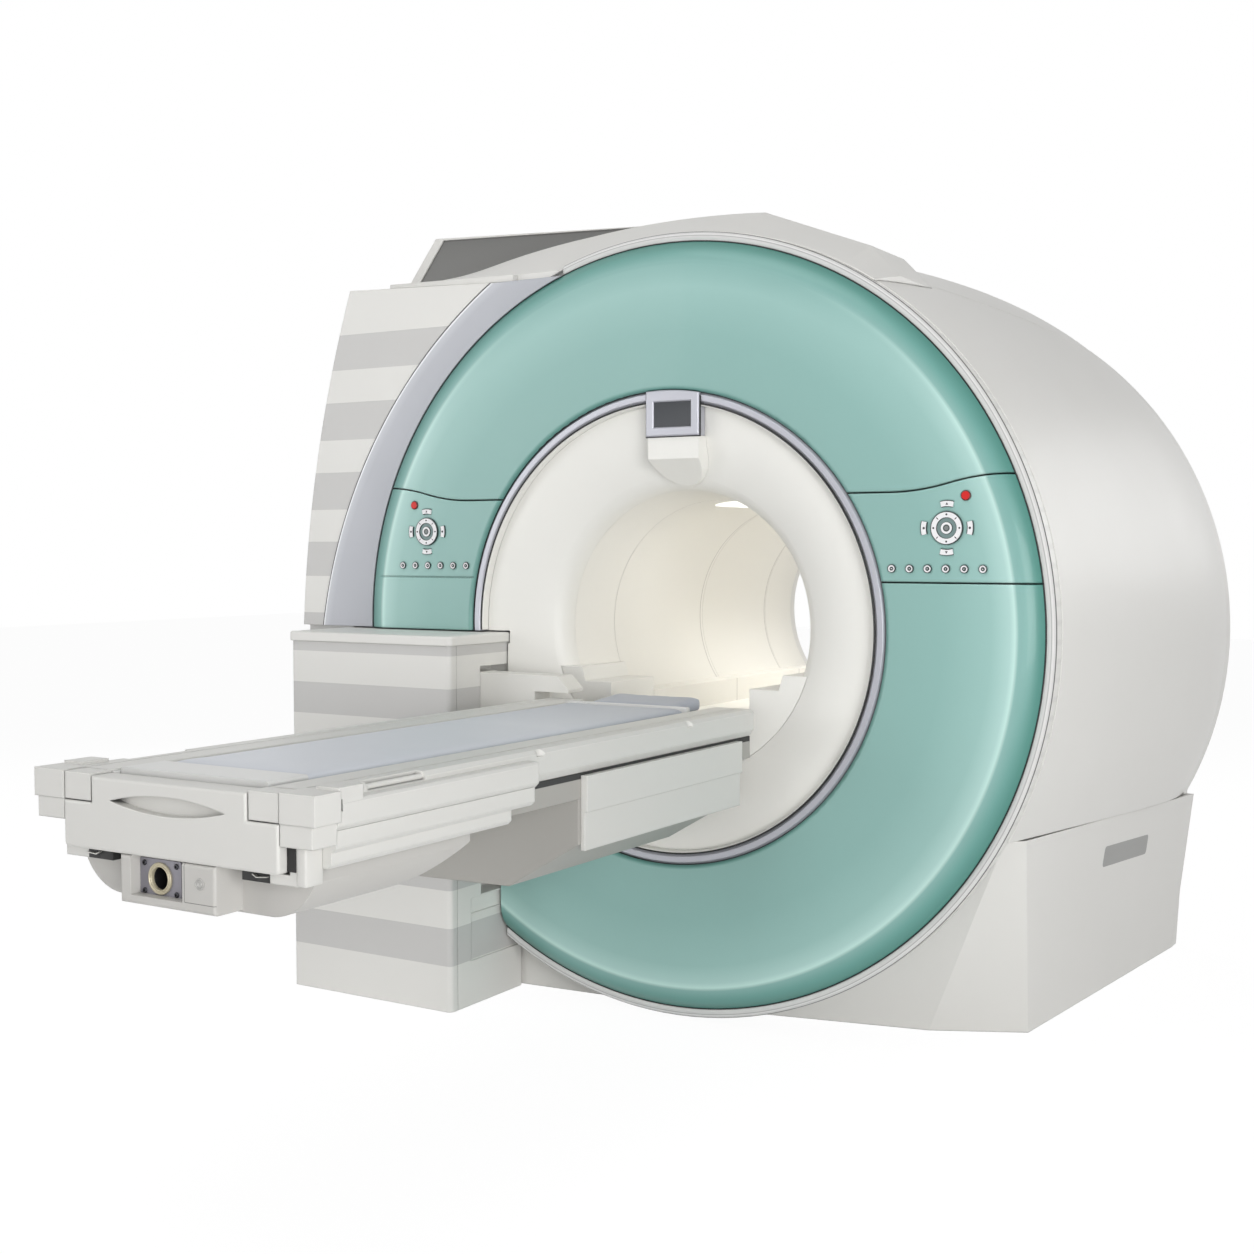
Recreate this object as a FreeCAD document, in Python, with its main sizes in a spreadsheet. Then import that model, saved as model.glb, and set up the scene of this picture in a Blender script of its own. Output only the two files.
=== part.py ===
"""Closed-bore MRI scanner with a patient table, in millimetres.

X points right as seen from the patient end, Y runs along the bore into the magnet, Z is up.
The origin is on the floor under the bore axis, in the plane of the front ring.
"""
import FreeCAD, Part
import math
import os

import Sketcher

doc = FreeCAD.newDocument("mri_scanner")
sheet = doc.addObject("Spreadsheet::Sheet", "Sizes")

# Driving dimensions, in millimetres unless the name says degrees or count.
DIMENSIONS = {
    # front ring, whose axis is the bore's
    "ring_radius": 1020,
    "outer_trim_width": 26,
    "floor_clearance": 14,
    "rim_width": 62,
    "face_ahead": 34,
    "cover_wall": 8,
    "trim_width": 30,
    "fit_gap": 0.3,
    "seam": 4,
    # bore
    "bore_radius": 350,
    "liner_wall": 11,
    "mouth_radius": 600,
    "throat_radius": 371,
    "throat_depth": 112,
    "throat_length": 178,
    "funnel_wall": 8,
    "ledge_height": 40,
    # magnet and barrel
    "vessel_front": 330,
    "vessel_back": 1480,
    "vessel_inset": 100,
    "barrel_front": 41,
    "barrel_back": 1520,
    "barrel_wall": 10,
    "barrel_swell": 104,
    "barrel_drop": 48,
    "rear_thickness": 118,
    "rear_flare": 150,
    "plate_thickness": 12,
    "saddle_half": 640,
    "saddle_length": 160,
    "skirt_drop": 500,
    "skirt_fall": 60,
    "skirt_wall": 12,
    "skirt_inset": 34,
    "skirt_lean": 74,
    "skirt_corner": 115,
    # hood, left side and turret
    "hood_rise": 96,
    "hood_ridge": 200,
    "hood_back": 430,
    "side_drop": 35,
    "side_reach": 278,
    "side_case_depth": 395,
    "turret_rise": 170,
    "turret_depth": 520,
    # column
    "column_left": 1110,
    "column_right": 535,
    "column_front": 262,
    "column_back": 82,
    "column_drop": 52,
    "cap_height": 27,
    "cap_overhang": 6,
    # table
    "table_drop": 195,
    "tabletop_width": 394,
    "tabletop_thickness": 65,
    "tray_depth": 15,
    "table_front": 1760,
    "table_back": 110,
    "table_width": 690,
    "end_cover_depth": 48,
    "end_cover_drop": 134,
    "block_length": 60,
    "side_cover_length": 650,
    "head_end": -42,
    "head_width": 300,
    "head_pad_length": 165,
    "mattress_thickness": 22,
    "mattress_width": 360,
    "foot_bar": 100,
    "frame_thickness": 55,
    "arm_front": 905,
    "arm_back": 205,
    "arm_width": 600,
    "arm_depth": 210,
    "lift_travel": 400,
    "box_width": 235,
    "box_height": 86,
    "recess_width": 129,
    "recess_depth": 26,
    "socket_radius": 20,
    "socket_depth": 45,
    # control panels
    "panel_low": 130,
    "panel_high": 350,
    "panel_rise": 40,
    "dial_inset": 37,
    "dial_rise": 262,
    "dial_radius": 40,
    "key_reach": 4,
    "key_row_drop": 98,
    "small_key_radius": 10,
    "stop_key_radius": 12,
    # display
    "display_across": 30,
    "display_width": 160,
    "display_height": 122,
    "display_drop": 91,
    "pod_height": 128,
}


class Size(float):
    """A size that remembers which cells of the sheet it is worked out from."""

    def __new__(cls, value, cells):
        size = super().__new__(cls, value)
        size.cells = cells
        return size

    def __add__(self, other):
        return Size(float(self) + float(other), f"({cells(self)} + {cells(other)})")

    def __radd__(self, other):
        return Size(float(other) + float(self), f"({cells(other)} + {cells(self)})")

    def __sub__(self, other):
        return Size(float(self) - float(other), f"({cells(self)} - {cells(other)})")

    def __rsub__(self, other):
        return Size(float(other) - float(self), f"({cells(other)} - {cells(self)})")

    def __mul__(self, other):
        return Size(float(self) * float(other), f"({cells(self)} * {cells(other)})")

    __rmul__ = __mul__

    def __truediv__(self, other):
        return Size(float(self) / float(other), f"({cells(self)} / {cells(other)})")

    def __rtruediv__(self, other):
        return Size(float(other) / float(self), f"({cells(other)} / {cells(self)})")

    def __neg__(self):
        return Size(-float(self), f"(0 - {cells(self)})")


def cells(value):
    """The text of a value for an expression of the document."""
    return value.cells if isinstance(value, Size) else f"({float(value)!r})"


def root(value):
    """Square root of a worked-out size."""
    return Size(math.sqrt(float(value)), f"sqrt({cells(value)})")


class Sizes:
    """The sheet's cells by name."""


s = Sizes()
for row, (name, value) in enumerate(DIMENSIONS.items(), start=1):
    sheet.set(f"A{row}", name)
    sheet.set(f"B{row}", str(value))
    sheet.setAlias(f"B{row}", name)
    setattr(s, name, Size(value, f"Sizes.{name}"))
doc.recompute()

# Heights, reaches and radii that follow from the driving dimensions.
s.axis_height = s.floor_clearance + s.outer_trim_width + s.ring_radius
s.funnel_depth = s.throat_depth + s.throat_length
s.vessel_radius = s.ring_radius - s.vessel_inset
s.skirt_width = s.ring_radius - s.skirt_inset
s.skirt_height = s.axis_height - s.skirt_drop
s.side_width = s.ring_radius + s.side_reach
s.side_height = s.axis_height + s.ring_radius - s.side_drop
s.hood_height = s.axis_height + s.ring_radius + s.hood_rise
s.turret_height = s.axis_height + s.ring_radius + s.turret_rise
s.column_height = s.axis_height - s.column_drop
s.table_top = s.axis_height - s.table_drop
s.panel_bottom = s.axis_height + s.panel_low
s.panel_inner_top = s.axis_height + s.panel_high
s.cover_width = s.ring_radius - s.mouth_radius - s.trim_width
s.dial_across = s.ring_radius - s.cover_width / 2 - s.dial_inset
s.dial_height = s.axis_height + s.dial_rise
s.key_row_height = s.dial_height - s.key_row_drop
s.key_spacing = s.cover_width * 0.118
s.display_bottom = s.axis_height + s.mouth_radius - s.display_drop

V = FreeCAD.Vector
parts = []
cuts = []


def bind(thing, path, value):
    """Give a property its number, and its expression where it comes from the sheet."""
    if isinstance(value, Size):
        thing.setExpression(path, value.cells)


def piece(name):
    """A new body that becomes one piece of the scanner."""
    body = doc.addObject("PartDesign::Body", name)
    body.Label = name
    parts.append(body)
    return body


def add_sketch(body, plane, offset=0.0):
    """An empty sketch on one of the body's own planes, moved along the plane's normal."""
    sketch = body.newObject("Sketcher::SketchObject", f"{body.Name}_sketch")
    origin = next(part for part in body.Origin.OriginFeatures if part.Role == f"{plane}_Plane")
    sketch.AttachmentSupport = [(origin, "")]
    sketch.MapMode = "FlatFace"
    sketch.AttachmentOffset = FreeCAD.Placement(V(0, 0, float(offset)), FreeCAD.Rotation())
    bind(sketch, "AttachmentOffset.Base.z", offset)
    return sketch


def fix(sketch, kind, *where_and_value):
    """One driving constraint, tied to the sheet when its value comes from there."""
    *where, value = where_and_value
    index = sketch.addConstraint(Sketcher.Constraint(kind, *where, float(value)))
    bind(sketch, f"Constraints[{index}]", value)


def arc_between(start, end, radius):
    """The short arc from start to end: a positive radius turns left, a negative one right."""
    chord = end - start
    sagitta = abs(radius) - math.sqrt(max(radius * radius - chord.Length ** 2 / 4, 0.0))
    side = V(chord.y, -chord.x, 0).normalize() * math.copysign(sagitta, radius)
    return Part.Arc(start, (start + end) / 2 + side, end)


def outline(sketch, corners):
    """A closed outline. A corner (x, y) starts a line, and (x, y, radius) starts an arc."""
    points = [V(float(corner[0]), float(corner[1]), 0) for corner in corners]
    first = sketch.GeometryCount
    total = len(corners)
    starts = []
    for number, corner in enumerate(corners):
        here, there = points[number], points[(number + 1) % total]
        if len(corner) == 3:
            arc = arc_between(here, there, float(corner[2]))
            sketch.addGeometry(arc, False)
            starts.append((1, 2) if corner[2] > 0 else (2, 1))
        else:
            sketch.addGeometry(Part.LineSegment(here, there), False)
            starts.append((1, 2))
    for number, corner in enumerate(corners):
        shape, after = first + number, first + (number + 1) % total
        begin, end = starts[number]
        sketch.addConstraint(
            Sketcher.Constraint("Coincident", shape, end, after, starts[(number + 1) % total][0])
        )
        fix(sketch, "DistanceX", -1, 1, shape, begin, corner[0])
        fix(sketch, "DistanceY", -1, 1, shape, begin, corner[1])
        if len(corner) == 3:
            fix(sketch, "Radius", shape, corner[2] if corner[2] > 0 else -corner[2])


def circle(sketch, across, up, radius):
    """A full circle."""
    index = sketch.addGeometry(Part.Circle(V(float(across), float(up), 0), V(0, 0, 1), float(radius)), False)
    fix(sketch, "DistanceX", -1, 1, index, 3, across)
    fix(sketch, "DistanceY", -1, 1, index, 3, up)
    fix(sketch, "Radius", index, radius)


def level_axis(sketch, height):
    """A construction line along the sketch's first axis, to turn a section about."""
    index = sketch.addGeometry(Part.LineSegment(V(0, float(height), 0), V(100, float(height), 0)), True)
    sketch.addConstraint(Sketcher.Constraint("Horizontal", index))
    fix(sketch, "DistanceX", -1, 1, index, 1, 0)
    fix(sketch, "DistanceX", -1, 1, index, 2, 100)
    fix(sketch, "DistanceY", -1, 1, index, 1, height)


def feature(body, kind, sketch):
    """A feature that works from a sketch; cuts are noted, to be compared at the end."""
    made = body.newObject(f"PartDesign::{kind}", f"{body.Name}_{kind.lower()}")
    made.Profile = sketch
    if kind in ("Pocket", "Groove", "SubtractiveLoft"):
        cuts.append(made)
    return made


def slab(body, plane, shapes, low, high, kind="Pad"):
    """Pad or pocket one or more outlines between two distances from the plane.

    XZ distances are Y coordinates, although that plane's normal points the other way.
    """
    flipped = plane == "XZ"
    pocket = kind == "Pocket"
    start = high if flipped != pocket else low
    sketch = add_sketch(body, plane, -start if flipped else start)
    for shape in shapes:
        if shape[0] == "circle":
            circle(sketch, *shape[1:])
        else:
            outline(sketch, shape)
    made = feature(body, kind, sketch)
    made.Length = float(high - low)
    bind(made, "Length", high - low)
    return made


def turned(body, shapes, height, kind="Revolution"):
    """Turn sections, drawn as (distance along Y, height), about the level axis at a height."""
    sketch = add_sketch(body, "YZ")
    level_axis(sketch, height)
    for shape in shapes:
        outline(sketch, shape)
    made = feature(body, kind, sketch)
    made.ReferenceAxis = (sketch, ["Axis0"])
    made.Angle = 360
    return made


def lofted(body, sections, kind="AdditiveLoft", ruled=False):
    """A loft through sections: (plane, offset along the plane's normal, shape) from first to last."""
    sketches = []
    for plane, offset, shape in sections:
        sketch = add_sketch(body, plane, offset)
        if shape[0] == "circle":
            circle(sketch, *shape[1:])
        else:
            outline(sketch, shape)
        sketches.append(sketch)
    made = feature(body, kind, sketches[0])
    made.Sections = sketches[1:]
    made.Ruled = ruled
    return made


def rounded(body, radius, wanted, kind="Fillet"):
    """Round or bevel the edges that a test picks."""
    doc.recompute()
    base = body.Tip
    names = [f"Edge{n}" for n, edge in enumerate(base.Shape.Edges, start=1) if wanted(edge)]
    if not names:
        raise RuntimeError(f"{body.Label}: no edge to round")
    made = body.newObject(f"PartDesign::{kind}", f"{body.Name}_{kind.lower()}")
    made.Base = (base, names)
    prop = "Radius" if kind == "Fillet" else "Size"
    setattr(made, prop, float(radius))
    bind(made, prop, radius)
    return made


def box(left, right, low, high):
    """Corners of a rectangle in a sketch."""
    return [(left, low), (right, low), (right, high), (left, high)]


def mirrored(corners):
    """The same outline on the other side of the middle plane."""
    flipped = []
    total = len(corners)
    for number in range(total - 1, -1, -1):
        corner = corners[number]
        before = corners[number - 1]
        across = -corner[0]
        flipped.append((across, corner[1], before[2]) if len(before) == 3 else (across, corner[1]))
    return flipped


def sided(corners, side):
    """An outline as drawn for the right, or mirrored for the left."""
    return corners if side > 0 else mirrored(corners)


def along(edge, axis):
    """Whether a straight edge runs along an axis."""
    if edge.Curve.TypeId != "Part::GeomLine":
        return False
    return abs(abs(edge.tangentAt(edge.FirstParameter).dot(axis)) - 1) < 1e-6


# ---------------------------------------------------------------- shared curves
# The funnel's face leaves the mouth square to the axis, and two tangent arcs carry it into the throat.
BLEND_SINE = 0.5
BLEND_COSINE = math.sqrt(0.75)
funnel_drop = s.mouth_radius - s.throat_radius
small_arc = (s.throat_depth * BLEND_SINE - funnel_drop * (1 - BLEND_COSINE)) / (
    BLEND_COSINE * BLEND_SINE - (1 - BLEND_SINE) * (1 - BLEND_COSINE)
)
large_arc = (funnel_drop - small_arc * (1 - BLEND_SINE)) / BLEND_SINE


def funnel_points(offset):
    """Mouth, blend and throat points of the funnel's face, moved back by an offset from it."""
    mouth = (offset, s.axis_height + s.mouth_radius)
    blend = (
        large_arc * (1 - BLEND_COSINE) + offset * BLEND_COSINE,
        s.axis_height + s.mouth_radius - large_arc * BLEND_SINE + offset * BLEND_SINE,
    )
    throat = (s.throat_depth, s.axis_height + s.throat_radius + offset)
    return mouth, blend, throat


# The barrel swells and sinks a little towards the back. Each station is
# (share of the length, share of the swell, share of the drop).
BARREL_STATIONS = ((0, 0.02, 0), (0.28, 0.42, 0.29), (0.58, 0.81, 0.63), (0.85, 1.0, 0.92), (1, 0.86, 1))
barrel_length = s.barrel_back - s.barrel_front
outer_trim_radius = s.ring_radius + s.outer_trim_width


def barrel_sections(offset, longer=0.0):
    """Circles of the barrel's surface, moved outwards by an offset, from front to back."""
    sections = []
    last = len(BARREL_STATIONS) - 1
    for number, (place, swell, drop) in enumerate(BARREL_STATIONS):
        extra = -longer if number == 0 else (longer if number == last else 0.0)
        y = s.barrel_front + barrel_length * place + extra
        radius = outer_trim_radius + s.barrel_swell * swell + offset
        sections.append(("XZ", -y, ("circle", 0, s.axis_height - s.barrel_drop * drop, radius)))
    return sections


skirt_line_back = s.skirt_height - s.skirt_fall
far = 1500.0


def skirt_line(gap):
    """The line between barrel and skirts as (distance along Y, height), moved upwards by a gap."""
    front, back = s.skirt_height + gap, skirt_line_back + gap
    return [(-far, front), (s.barrel_front, front), (s.barrel_back, back), (2 * far, back)]


def skirt_plan(side, inset, top, middle=0.0):
    """Plan of one skirt at the floor or at its top, from the middle to the back, moved inwards."""
    width = s.skirt_width + (s.skirt_lean if top else 0.0)
    corner = width - s.skirt_corner
    behind_column = s.column_back + s.seam + (0.0 if top else 4.0)
    if side < 0:
        points = [(s.column_right - 5, behind_column), (corner, behind_column)]
    elif top:
        points = [(corner - 15, 60), (corner, 110)]
    else:
        points = [(corner - 231, 270), (corner, 386)]
    (front_x, front_y), (corner_x, corner_y) = points
    return [
        (middle, (50 if top else 130) + inset),
        (side * (front_x - inset * 0.4), front_y + inset),
        (side * (corner_x - inset), corner_y + inset),
        (side * (width - inset), s.barrel_back - inset),
        (middle, s.barrel_back - inset),
    ]


rear_throat = s.barrel_back + s.rear_thickness - s.rear_flare

side_low = s.column_height + s.cap_height + s.seam
# What stands in the way of the column and its cap is cut back to this outline, in front view.
beside_column = -s.column_right + s.seam
beside_cap = beside_column + s.cap_overhang
under_cap = s.column_height - s.seam
column_notch = [
    (-far, -100), (beside_column, -100), (beside_column, under_cap),
    (beside_cap, under_cap), (beside_cap, side_low), (-far, side_low),
]


def circle_across(radius, height):
    """How far out a circle round the bore axis lies at a height."""
    up = height - s.axis_height
    return root(radius * radius - up * up)


def circle_height(radius, across):
    """The upper height of a circle round the bore axis at a distance from the middle."""
    return s.axis_height + root(radius * radius - across * across)


# ---------------------------------------------------------------- floor plate and magnet
def floor_plate():
    """Flat steel plate on the floor inside the skirts, with two saddles that carry the vessel."""
    body = piece("floor_plate")
    inset = s.skirt_wall + s.fit_gap
    right = skirt_plan(1, inset, 0)[:-1]
    left = skirt_plan(-1, inset, 0)[1:-1]
    slab(body, "XY", [right + left[::-1]], 0.0, s.plate_thickness)
    half = s.saddle_half
    saddle_top = s.axis_height - root(s.vessel_radius * s.vessel_radius - half * half)
    saddle = box(-half, half, s.plate_thickness, saddle_top)
    for start in (s.vessel_front + 170, s.vessel_back - 330):
        slab(body, "XZ", [saddle], start, start + s.saddle_length)
    seat = ("circle", 0, s.axis_height, s.vessel_radius + s.fit_gap)
    slab(body, "XZ", [seat], s.plate_thickness, s.barrel_back, "Pocket")
    return body


def magnet_vessel():
    """Helium vessel with the magnet and gradient coils, as one closed ring with bevelled ends."""
    body = piece("magnet_vessel")
    inner = s.axis_height + s.bore_radius + s.liner_wall + s.fit_gap
    outer = s.axis_height + s.vessel_radius
    turned(body, [box(s.vessel_front, s.vessel_back, inner, outer)], s.axis_height)
    rim = 2 * float(s.vessel_radius) - 1
    rounded(body, 60, lambda edge: edge.BoundBox.ZLength > rim and edge.BoundBox.YLength < 1, "Chamfer")
    return body


# The liner's seams, as shares of the way from the funnel's back to the rear throat.
LINER_SEAMS = (0.0, 0.45, 0.83)


def bore_liner():
    """Tube that lines the patient bore: a tapered throat and the bore itself, with three shallow seams."""
    body = piece("bore_liner")
    start, taper_end, end = s.throat_depth + s.fit_gap, s.funnel_depth, rear_throat - s.fit_gap
    wide, inner = s.axis_height + s.throat_radius, s.axis_height + s.bore_radius
    wall = s.liner_wall
    turned(body, [[
        (start, wide), (taper_end, inner), (end, inner),
        (end, inner + wall), (taper_end, inner + wall), (start, wide + wall),
    ]], s.axis_height)
    half = s.seam / 4
    seams = []
    for share in LINER_SEAMS:
        middle = taper_end + half + (end - taper_end) * share
        seams.append(box(middle - half, middle + half, inner - 2, inner + half))
    turned(body, seams, s.axis_height, "Groove")
    return body


def bore_funnel():
    """Flared mouth of the bore, a moulded shell with two tangent arcs."""
    body = piece("bore_funnel")
    mouth, blend, throat = funnel_points(0)
    back_mouth, back_blend, back_throat = funnel_points(s.funnel_wall)
    turned(body, [[
        (*mouth, large_arc),
        (*blend, small_arc),
        throat,
        (*back_throat, -(small_arc - s.funnel_wall)),
        (*back_blend, -(large_arc - s.funnel_wall)),
        back_mouth,
    ]], s.axis_height)
    slab(body, "XZ", [column_notch], -10, s.column_back + s.seam, "Pocket")
    return body


# The tabletop's path through trough and deck, shared by both.
channel_half = s.tabletop_width / 2 + 18
channel_floor = s.table_top - s.tabletop_thickness - 10
deck_level = s.table_top - 3
trough_front = 55.0


def above_path(ledges):
    """Front view outline of what is taken away above the deck or the trough."""
    right = [(channel_half, channel_floor), *ledges, (far, ledges[-1][1]), (far, s.axis_height + far)]
    left = [(-across, up) for across, up in reversed(right)]
    return right + left


def docking_trough():
    """Moulded insert in the funnel, with two ledges on each side of the tabletop's path."""
    body = piece("docking_trough")
    mouth, blend, throat = funnel_points(-s.fit_gap)
    end = s.axis_height + s.bore_radius - s.fit_gap
    depth = throat[0] - trough_front
    # the face starts on the small arc, whose centre lies level with the throat
    start = s.axis_height + s.throat_radius + small_arc - root(
        (small_arc + s.fit_gap) * (small_arc + s.fit_gap) - depth * depth
    )
    turned(body, [[
        (trough_front, s.axis_height),
        (s.funnel_depth, s.axis_height),
        (s.funnel_depth, end),
        (throat[0], throat[1], -(small_arc + s.fit_gap)),
        (trough_front, start),
    ]], s.axis_height)
    ledges = [
        (channel_half, deck_level + s.ledge_height),
        (channel_half + 85, deck_level + s.ledge_height),
        (channel_half + 97, deck_level + 2 * s.ledge_height),
    ]
    slab(body, "XZ", [above_path(ledges)], trough_front - 10, s.funnel_depth + 10, "Pocket")
    return body


def bore_deck():
    """Deck in the bore with the channel that the tabletop slides in."""
    body = piece("bore_deck")
    start, end = s.funnel_depth + 2, rear_throat - 40
    slab(body, "XZ", [("circle", 0, s.axis_height, s.bore_radius - s.fit_gap)], start, end)
    slab(body, "XZ", [above_path([(channel_half, deck_level)])], start - 10, end + 10, "Pocket")
    return body


# ---------------------------------------------------------------- front ring
trim_outer = s.mouth_radius + s.trim_width + s.fit_gap
cover_inner = trim_outer + s.fit_gap
display_left = s.display_across - s.display_width / 2
display_right = s.display_across + s.display_width / 2
face_y = -s.face_ahead


def cover_section():
    """Section of the teal ring cover as (distance along Y, height above the axis)."""
    axis = s.axis_height
    wall = s.cover_wall
    edge = 12.0
    rim_start = s.ring_radius - s.rim_width
    rim_arc = (s.rim_width * s.rim_width + s.face_ahead * s.face_ahead) / (2 * s.face_ahead)
    return [
        (12, axis + cover_inner),
        (face_y + edge, axis + cover_inner, -edge),
        (face_y, axis + cover_inner + edge),
        (face_y, axis + rim_start, -rim_arc),
        (0, axis + s.ring_radius),
        (26, axis + s.ring_radius),
        (26, axis + s.ring_radius - wall),
        (wall, axis + s.ring_radius - wall),
        (face_y + wall, axis + rim_start),
        (face_y + wall, axis + cover_inner + edge + wall),
        (face_y + 2 * wall, axis + cover_inner + wall),
        (12, axis + cover_inner + wall),
    ]


def seam_curve(shift):
    """Points of the S-shaped seam over a control panel, from the bore outwards."""
    low, half_rise = s.panel_inner_top + shift, s.panel_rise / 2
    start, run = cover_inner + 10, s.cover_width / 2.6
    bend = (run * run + half_rise * half_rise) / (2 * half_rise)
    return [
        (start / 2, low),
        (start, low, bend),
        (start + run, low + half_rise, -bend),
        (start + 2 * run, low + s.panel_rise),
        (far, low + s.panel_rise),
    ]


def ring_cover(name, removed):
    """A stretch of the teal ring cover: the whole turned section less what the outlines take."""
    body = piece(name)
    turned(body, [cover_section()], s.axis_height)
    for shape in removed:
        slab(body, "XZ", [shape], -100, 100, "Pocket")
    return body


def cover_upper():
    """Upper stretch of the ring cover, down to the S-shaped seams."""
    right = seam_curve(s.seam / 2)
    left = mirrored(right)
    below = left + right + [(far, -100), (-far, -100)]
    return ring_cover("ring_cover_upper", [below])


def cover_lower():
    """Lower stretch of the ring cover, cut away where the column stands."""
    above = box(-far, far, s.panel_bottom - s.seam / 2, s.axis_height + far)
    left = box(-far, beside_column, -100, s.axis_height + far)
    return ring_cover("ring_cover_lower", [above, left])


# Four arc-shaped keys lie round the dial, the stop key above it and a row of small keys below.
ARC_KEY_INNER = 51.0
ARC_KEY_OUTER = 66.0
ARC_KEY_HALF = 17.0
SMALL_KEYS = 6
KEYS = ["dial", "stop", "up", "down", "inner", "outer"] + [f"small_{n + 1}" for n in range(SMALL_KEYS)]


def control_panel(side):
    """Stretch of the ring cover that carries the table controls, with a hole for each key."""
    name = "control_panel_right" if side > 0 else "control_panel_left"
    seam = seam_curve(-s.seam / 2)
    low = s.panel_bottom + s.seam / 2 if side > 0 else side_low
    above = seam + [(far, s.axis_height + far), (-far, s.axis_height + far), (-far, seam[0][1])]
    body = ring_cover(name, [sided(above, side), box(-far, far, -100, low)])
    other = box(-far, 0, -100, s.axis_height + far)
    slab(body, "XZ", [sided(other, side)], -100, 100, "Pocket")
    holes = [key_outline(kind, side, s.fit_gap) for kind in KEYS]
    slab(body, "XZ", holes, -100, 100, "Pocket")
    if side < 0:
        # the lower seam goes on as a groove here, because the strip below it is the same moulding
        groove = box(-far, 0, s.panel_bottom - s.seam / 2, s.panel_bottom + s.seam / 2)
        slab(body, "XZ", [groove], face_y - 10, face_y + 3, "Pocket")
    return body


def arc_key(turns, gap):
    """Outline of an arc-shaped key beside the dial, turned by quarter turns, on the right panel."""
    inner, outer = ARC_KEY_INNER - gap, ARC_KEY_OUTER + gap
    half_in, half_out = ARC_KEY_HALF * 0.82 + gap, ARC_KEY_HALF + gap
    low = root(inner * inner - half_in * half_in)
    high = root(outer * outer - half_out * half_out)
    corners = [(half_in, low), (half_out, high, outer), (-half_out, high), (-half_in, low, -inner)]
    for _ in range(turns):
        corners = [(-corner[1], corner[0], *corner[2:]) for corner in corners]
    return [(s.dial_across + corner[0], s.dial_height + corner[1], *corner[2:]) for corner in corners]


def key_outline(kind, side, gap=0.0):
    """Outline of one key, or of its hole when a gap is given."""
    if kind == "dial":
        return ("circle", side * s.dial_across, s.dial_height, s.dial_radius + gap)
    if kind == "stop":
        return ("circle", side * (s.dial_across + s.key_spacing), s.dial_height + 77, s.stop_key_radius + gap)
    if kind.startswith("small"):
        number = int(kind[-1]) - 1
        across = s.dial_across - 25 + s.key_spacing * (number - (SMALL_KEYS - 1) / 2)
        return ("circle", side * across, s.key_row_height, s.small_key_radius + gap)
    turns = ["up", "inner", "down", "outer"].index(kind)
    return sided(arc_key(turns, gap), side)


def control_key(kind, side):
    """One key or dial: a cap that stands out of the panel and a stem that fills its hole."""
    name = f"{'right' if side > 0 else 'left'}_{kind}_key"
    if kind == "dial":
        name = name.replace("_key", "")
    body = piece(name)
    reach = s.key_reach * (1.5 if kind in ("dial", "stop") else 1.0)
    slab(body, "XZ", [key_outline(kind, side)], face_y - reach, face_y + s.cover_wall + 4)
    centre = key_outline(kind, side)[1:3]
    top = face_y - reach
    if kind == "dial":
        groove = [("circle", *centre, s.dial_radius * 0.62), ("circle", *centre, s.dial_radius * 0.36)]
        slab(body, "XZ", groove, top - 1, top + 3, "Pocket")
    if kind.startswith("small"):
        groove = [
            ("circle", *centre, s.small_key_radius * 0.7),
            ("circle", *centre, s.small_key_radius * 0.42),
        ]
        slab(body, "XZ", groove, top - 1, top + 1, "Pocket")
    if kind == "stop":
        rounded(body, reach * 0.5, lambda edge: abs(edge.BoundBox.YMax - float(top)) < 0.01, "Chamfer")
    return body


# The silver crescent on the left runs from the column up to here, beside the trim.
band_top = s.side_height - 22
band_outer_low = s.side_width - 82
band_outer_top = s.ring_radius - 440
band_arc = s.ring_radius + 413


def inner_trim():
    """Silver ring between the funnel's mouth and the teal cover, notched for the display."""
    body = piece("inner_trim")
    inner, outer = s.axis_height + s.mouth_radius + s.fit_gap, s.axis_height + trim_outer
    front = face_y + 6
    turned(body, [[
        (14, inner), (14, outer), (front + 8, outer), (front, outer - 7), (front, inner + 9),
        (front + 6, inner + 2), (0, inner),
    ]], s.axis_height)
    top = s.axis_height + s.mouth_radius
    notch = box(display_left - s.fit_gap, display_right + s.fit_gap, top - 200, top + 200)
    slab(body, "XZ", [notch], -100, 100, "Pocket")
    slab(body, "XZ", [column_notch], -100, 100, "Pocket")
    return body


def outer_trim():
    """Silver band round the teal cover, from the hood round the right to the column."""
    body = piece("outer_trim")
    inner, outer = s.axis_height + s.ring_radius + s.fit_gap, s.axis_height + outer_trim_radius
    turned(body, [[
        (-2, inner + 4), (2, inner), (40, inner), (40, outer), (4, outer), (-4, outer - 6), (-4, inner + 10),
    ]], s.axis_height)
    end = s.seam - circle_across(s.ring_radius + s.fit_gap, band_top)
    left = [
        (-far, -100), (beside_column, -100), (beside_column, s.axis_height),
        (end, s.axis_height), (end, s.axis_height + far), (-far, s.axis_height + far),
    ]
    slab(body, "XZ", [left], -100, 100, "Pocket")
    return body


# ---------------------------------------------------------------- left side
SIDE_ARC = 3600.0
side_corner = s.side_width - 198
case_inner = outer_trim_radius + s.barrel_swell * 0.5 + 14
case_top = s.side_height - 14


def band_left():
    """Silver crescent between the teal ring and the striped panel."""
    body = piece("band_left")
    radius = s.ring_radius + s.fit_gap
    shape = [
        (-circle_across(radius, band_top), band_top),
        (-band_outer_top, band_top, band_arc),
        (-band_outer_low, side_low),
        (-circle_across(radius, side_low), side_low, -radius),
    ]
    slab(body, "XZ", [shape], -8, 24)
    return body


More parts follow.
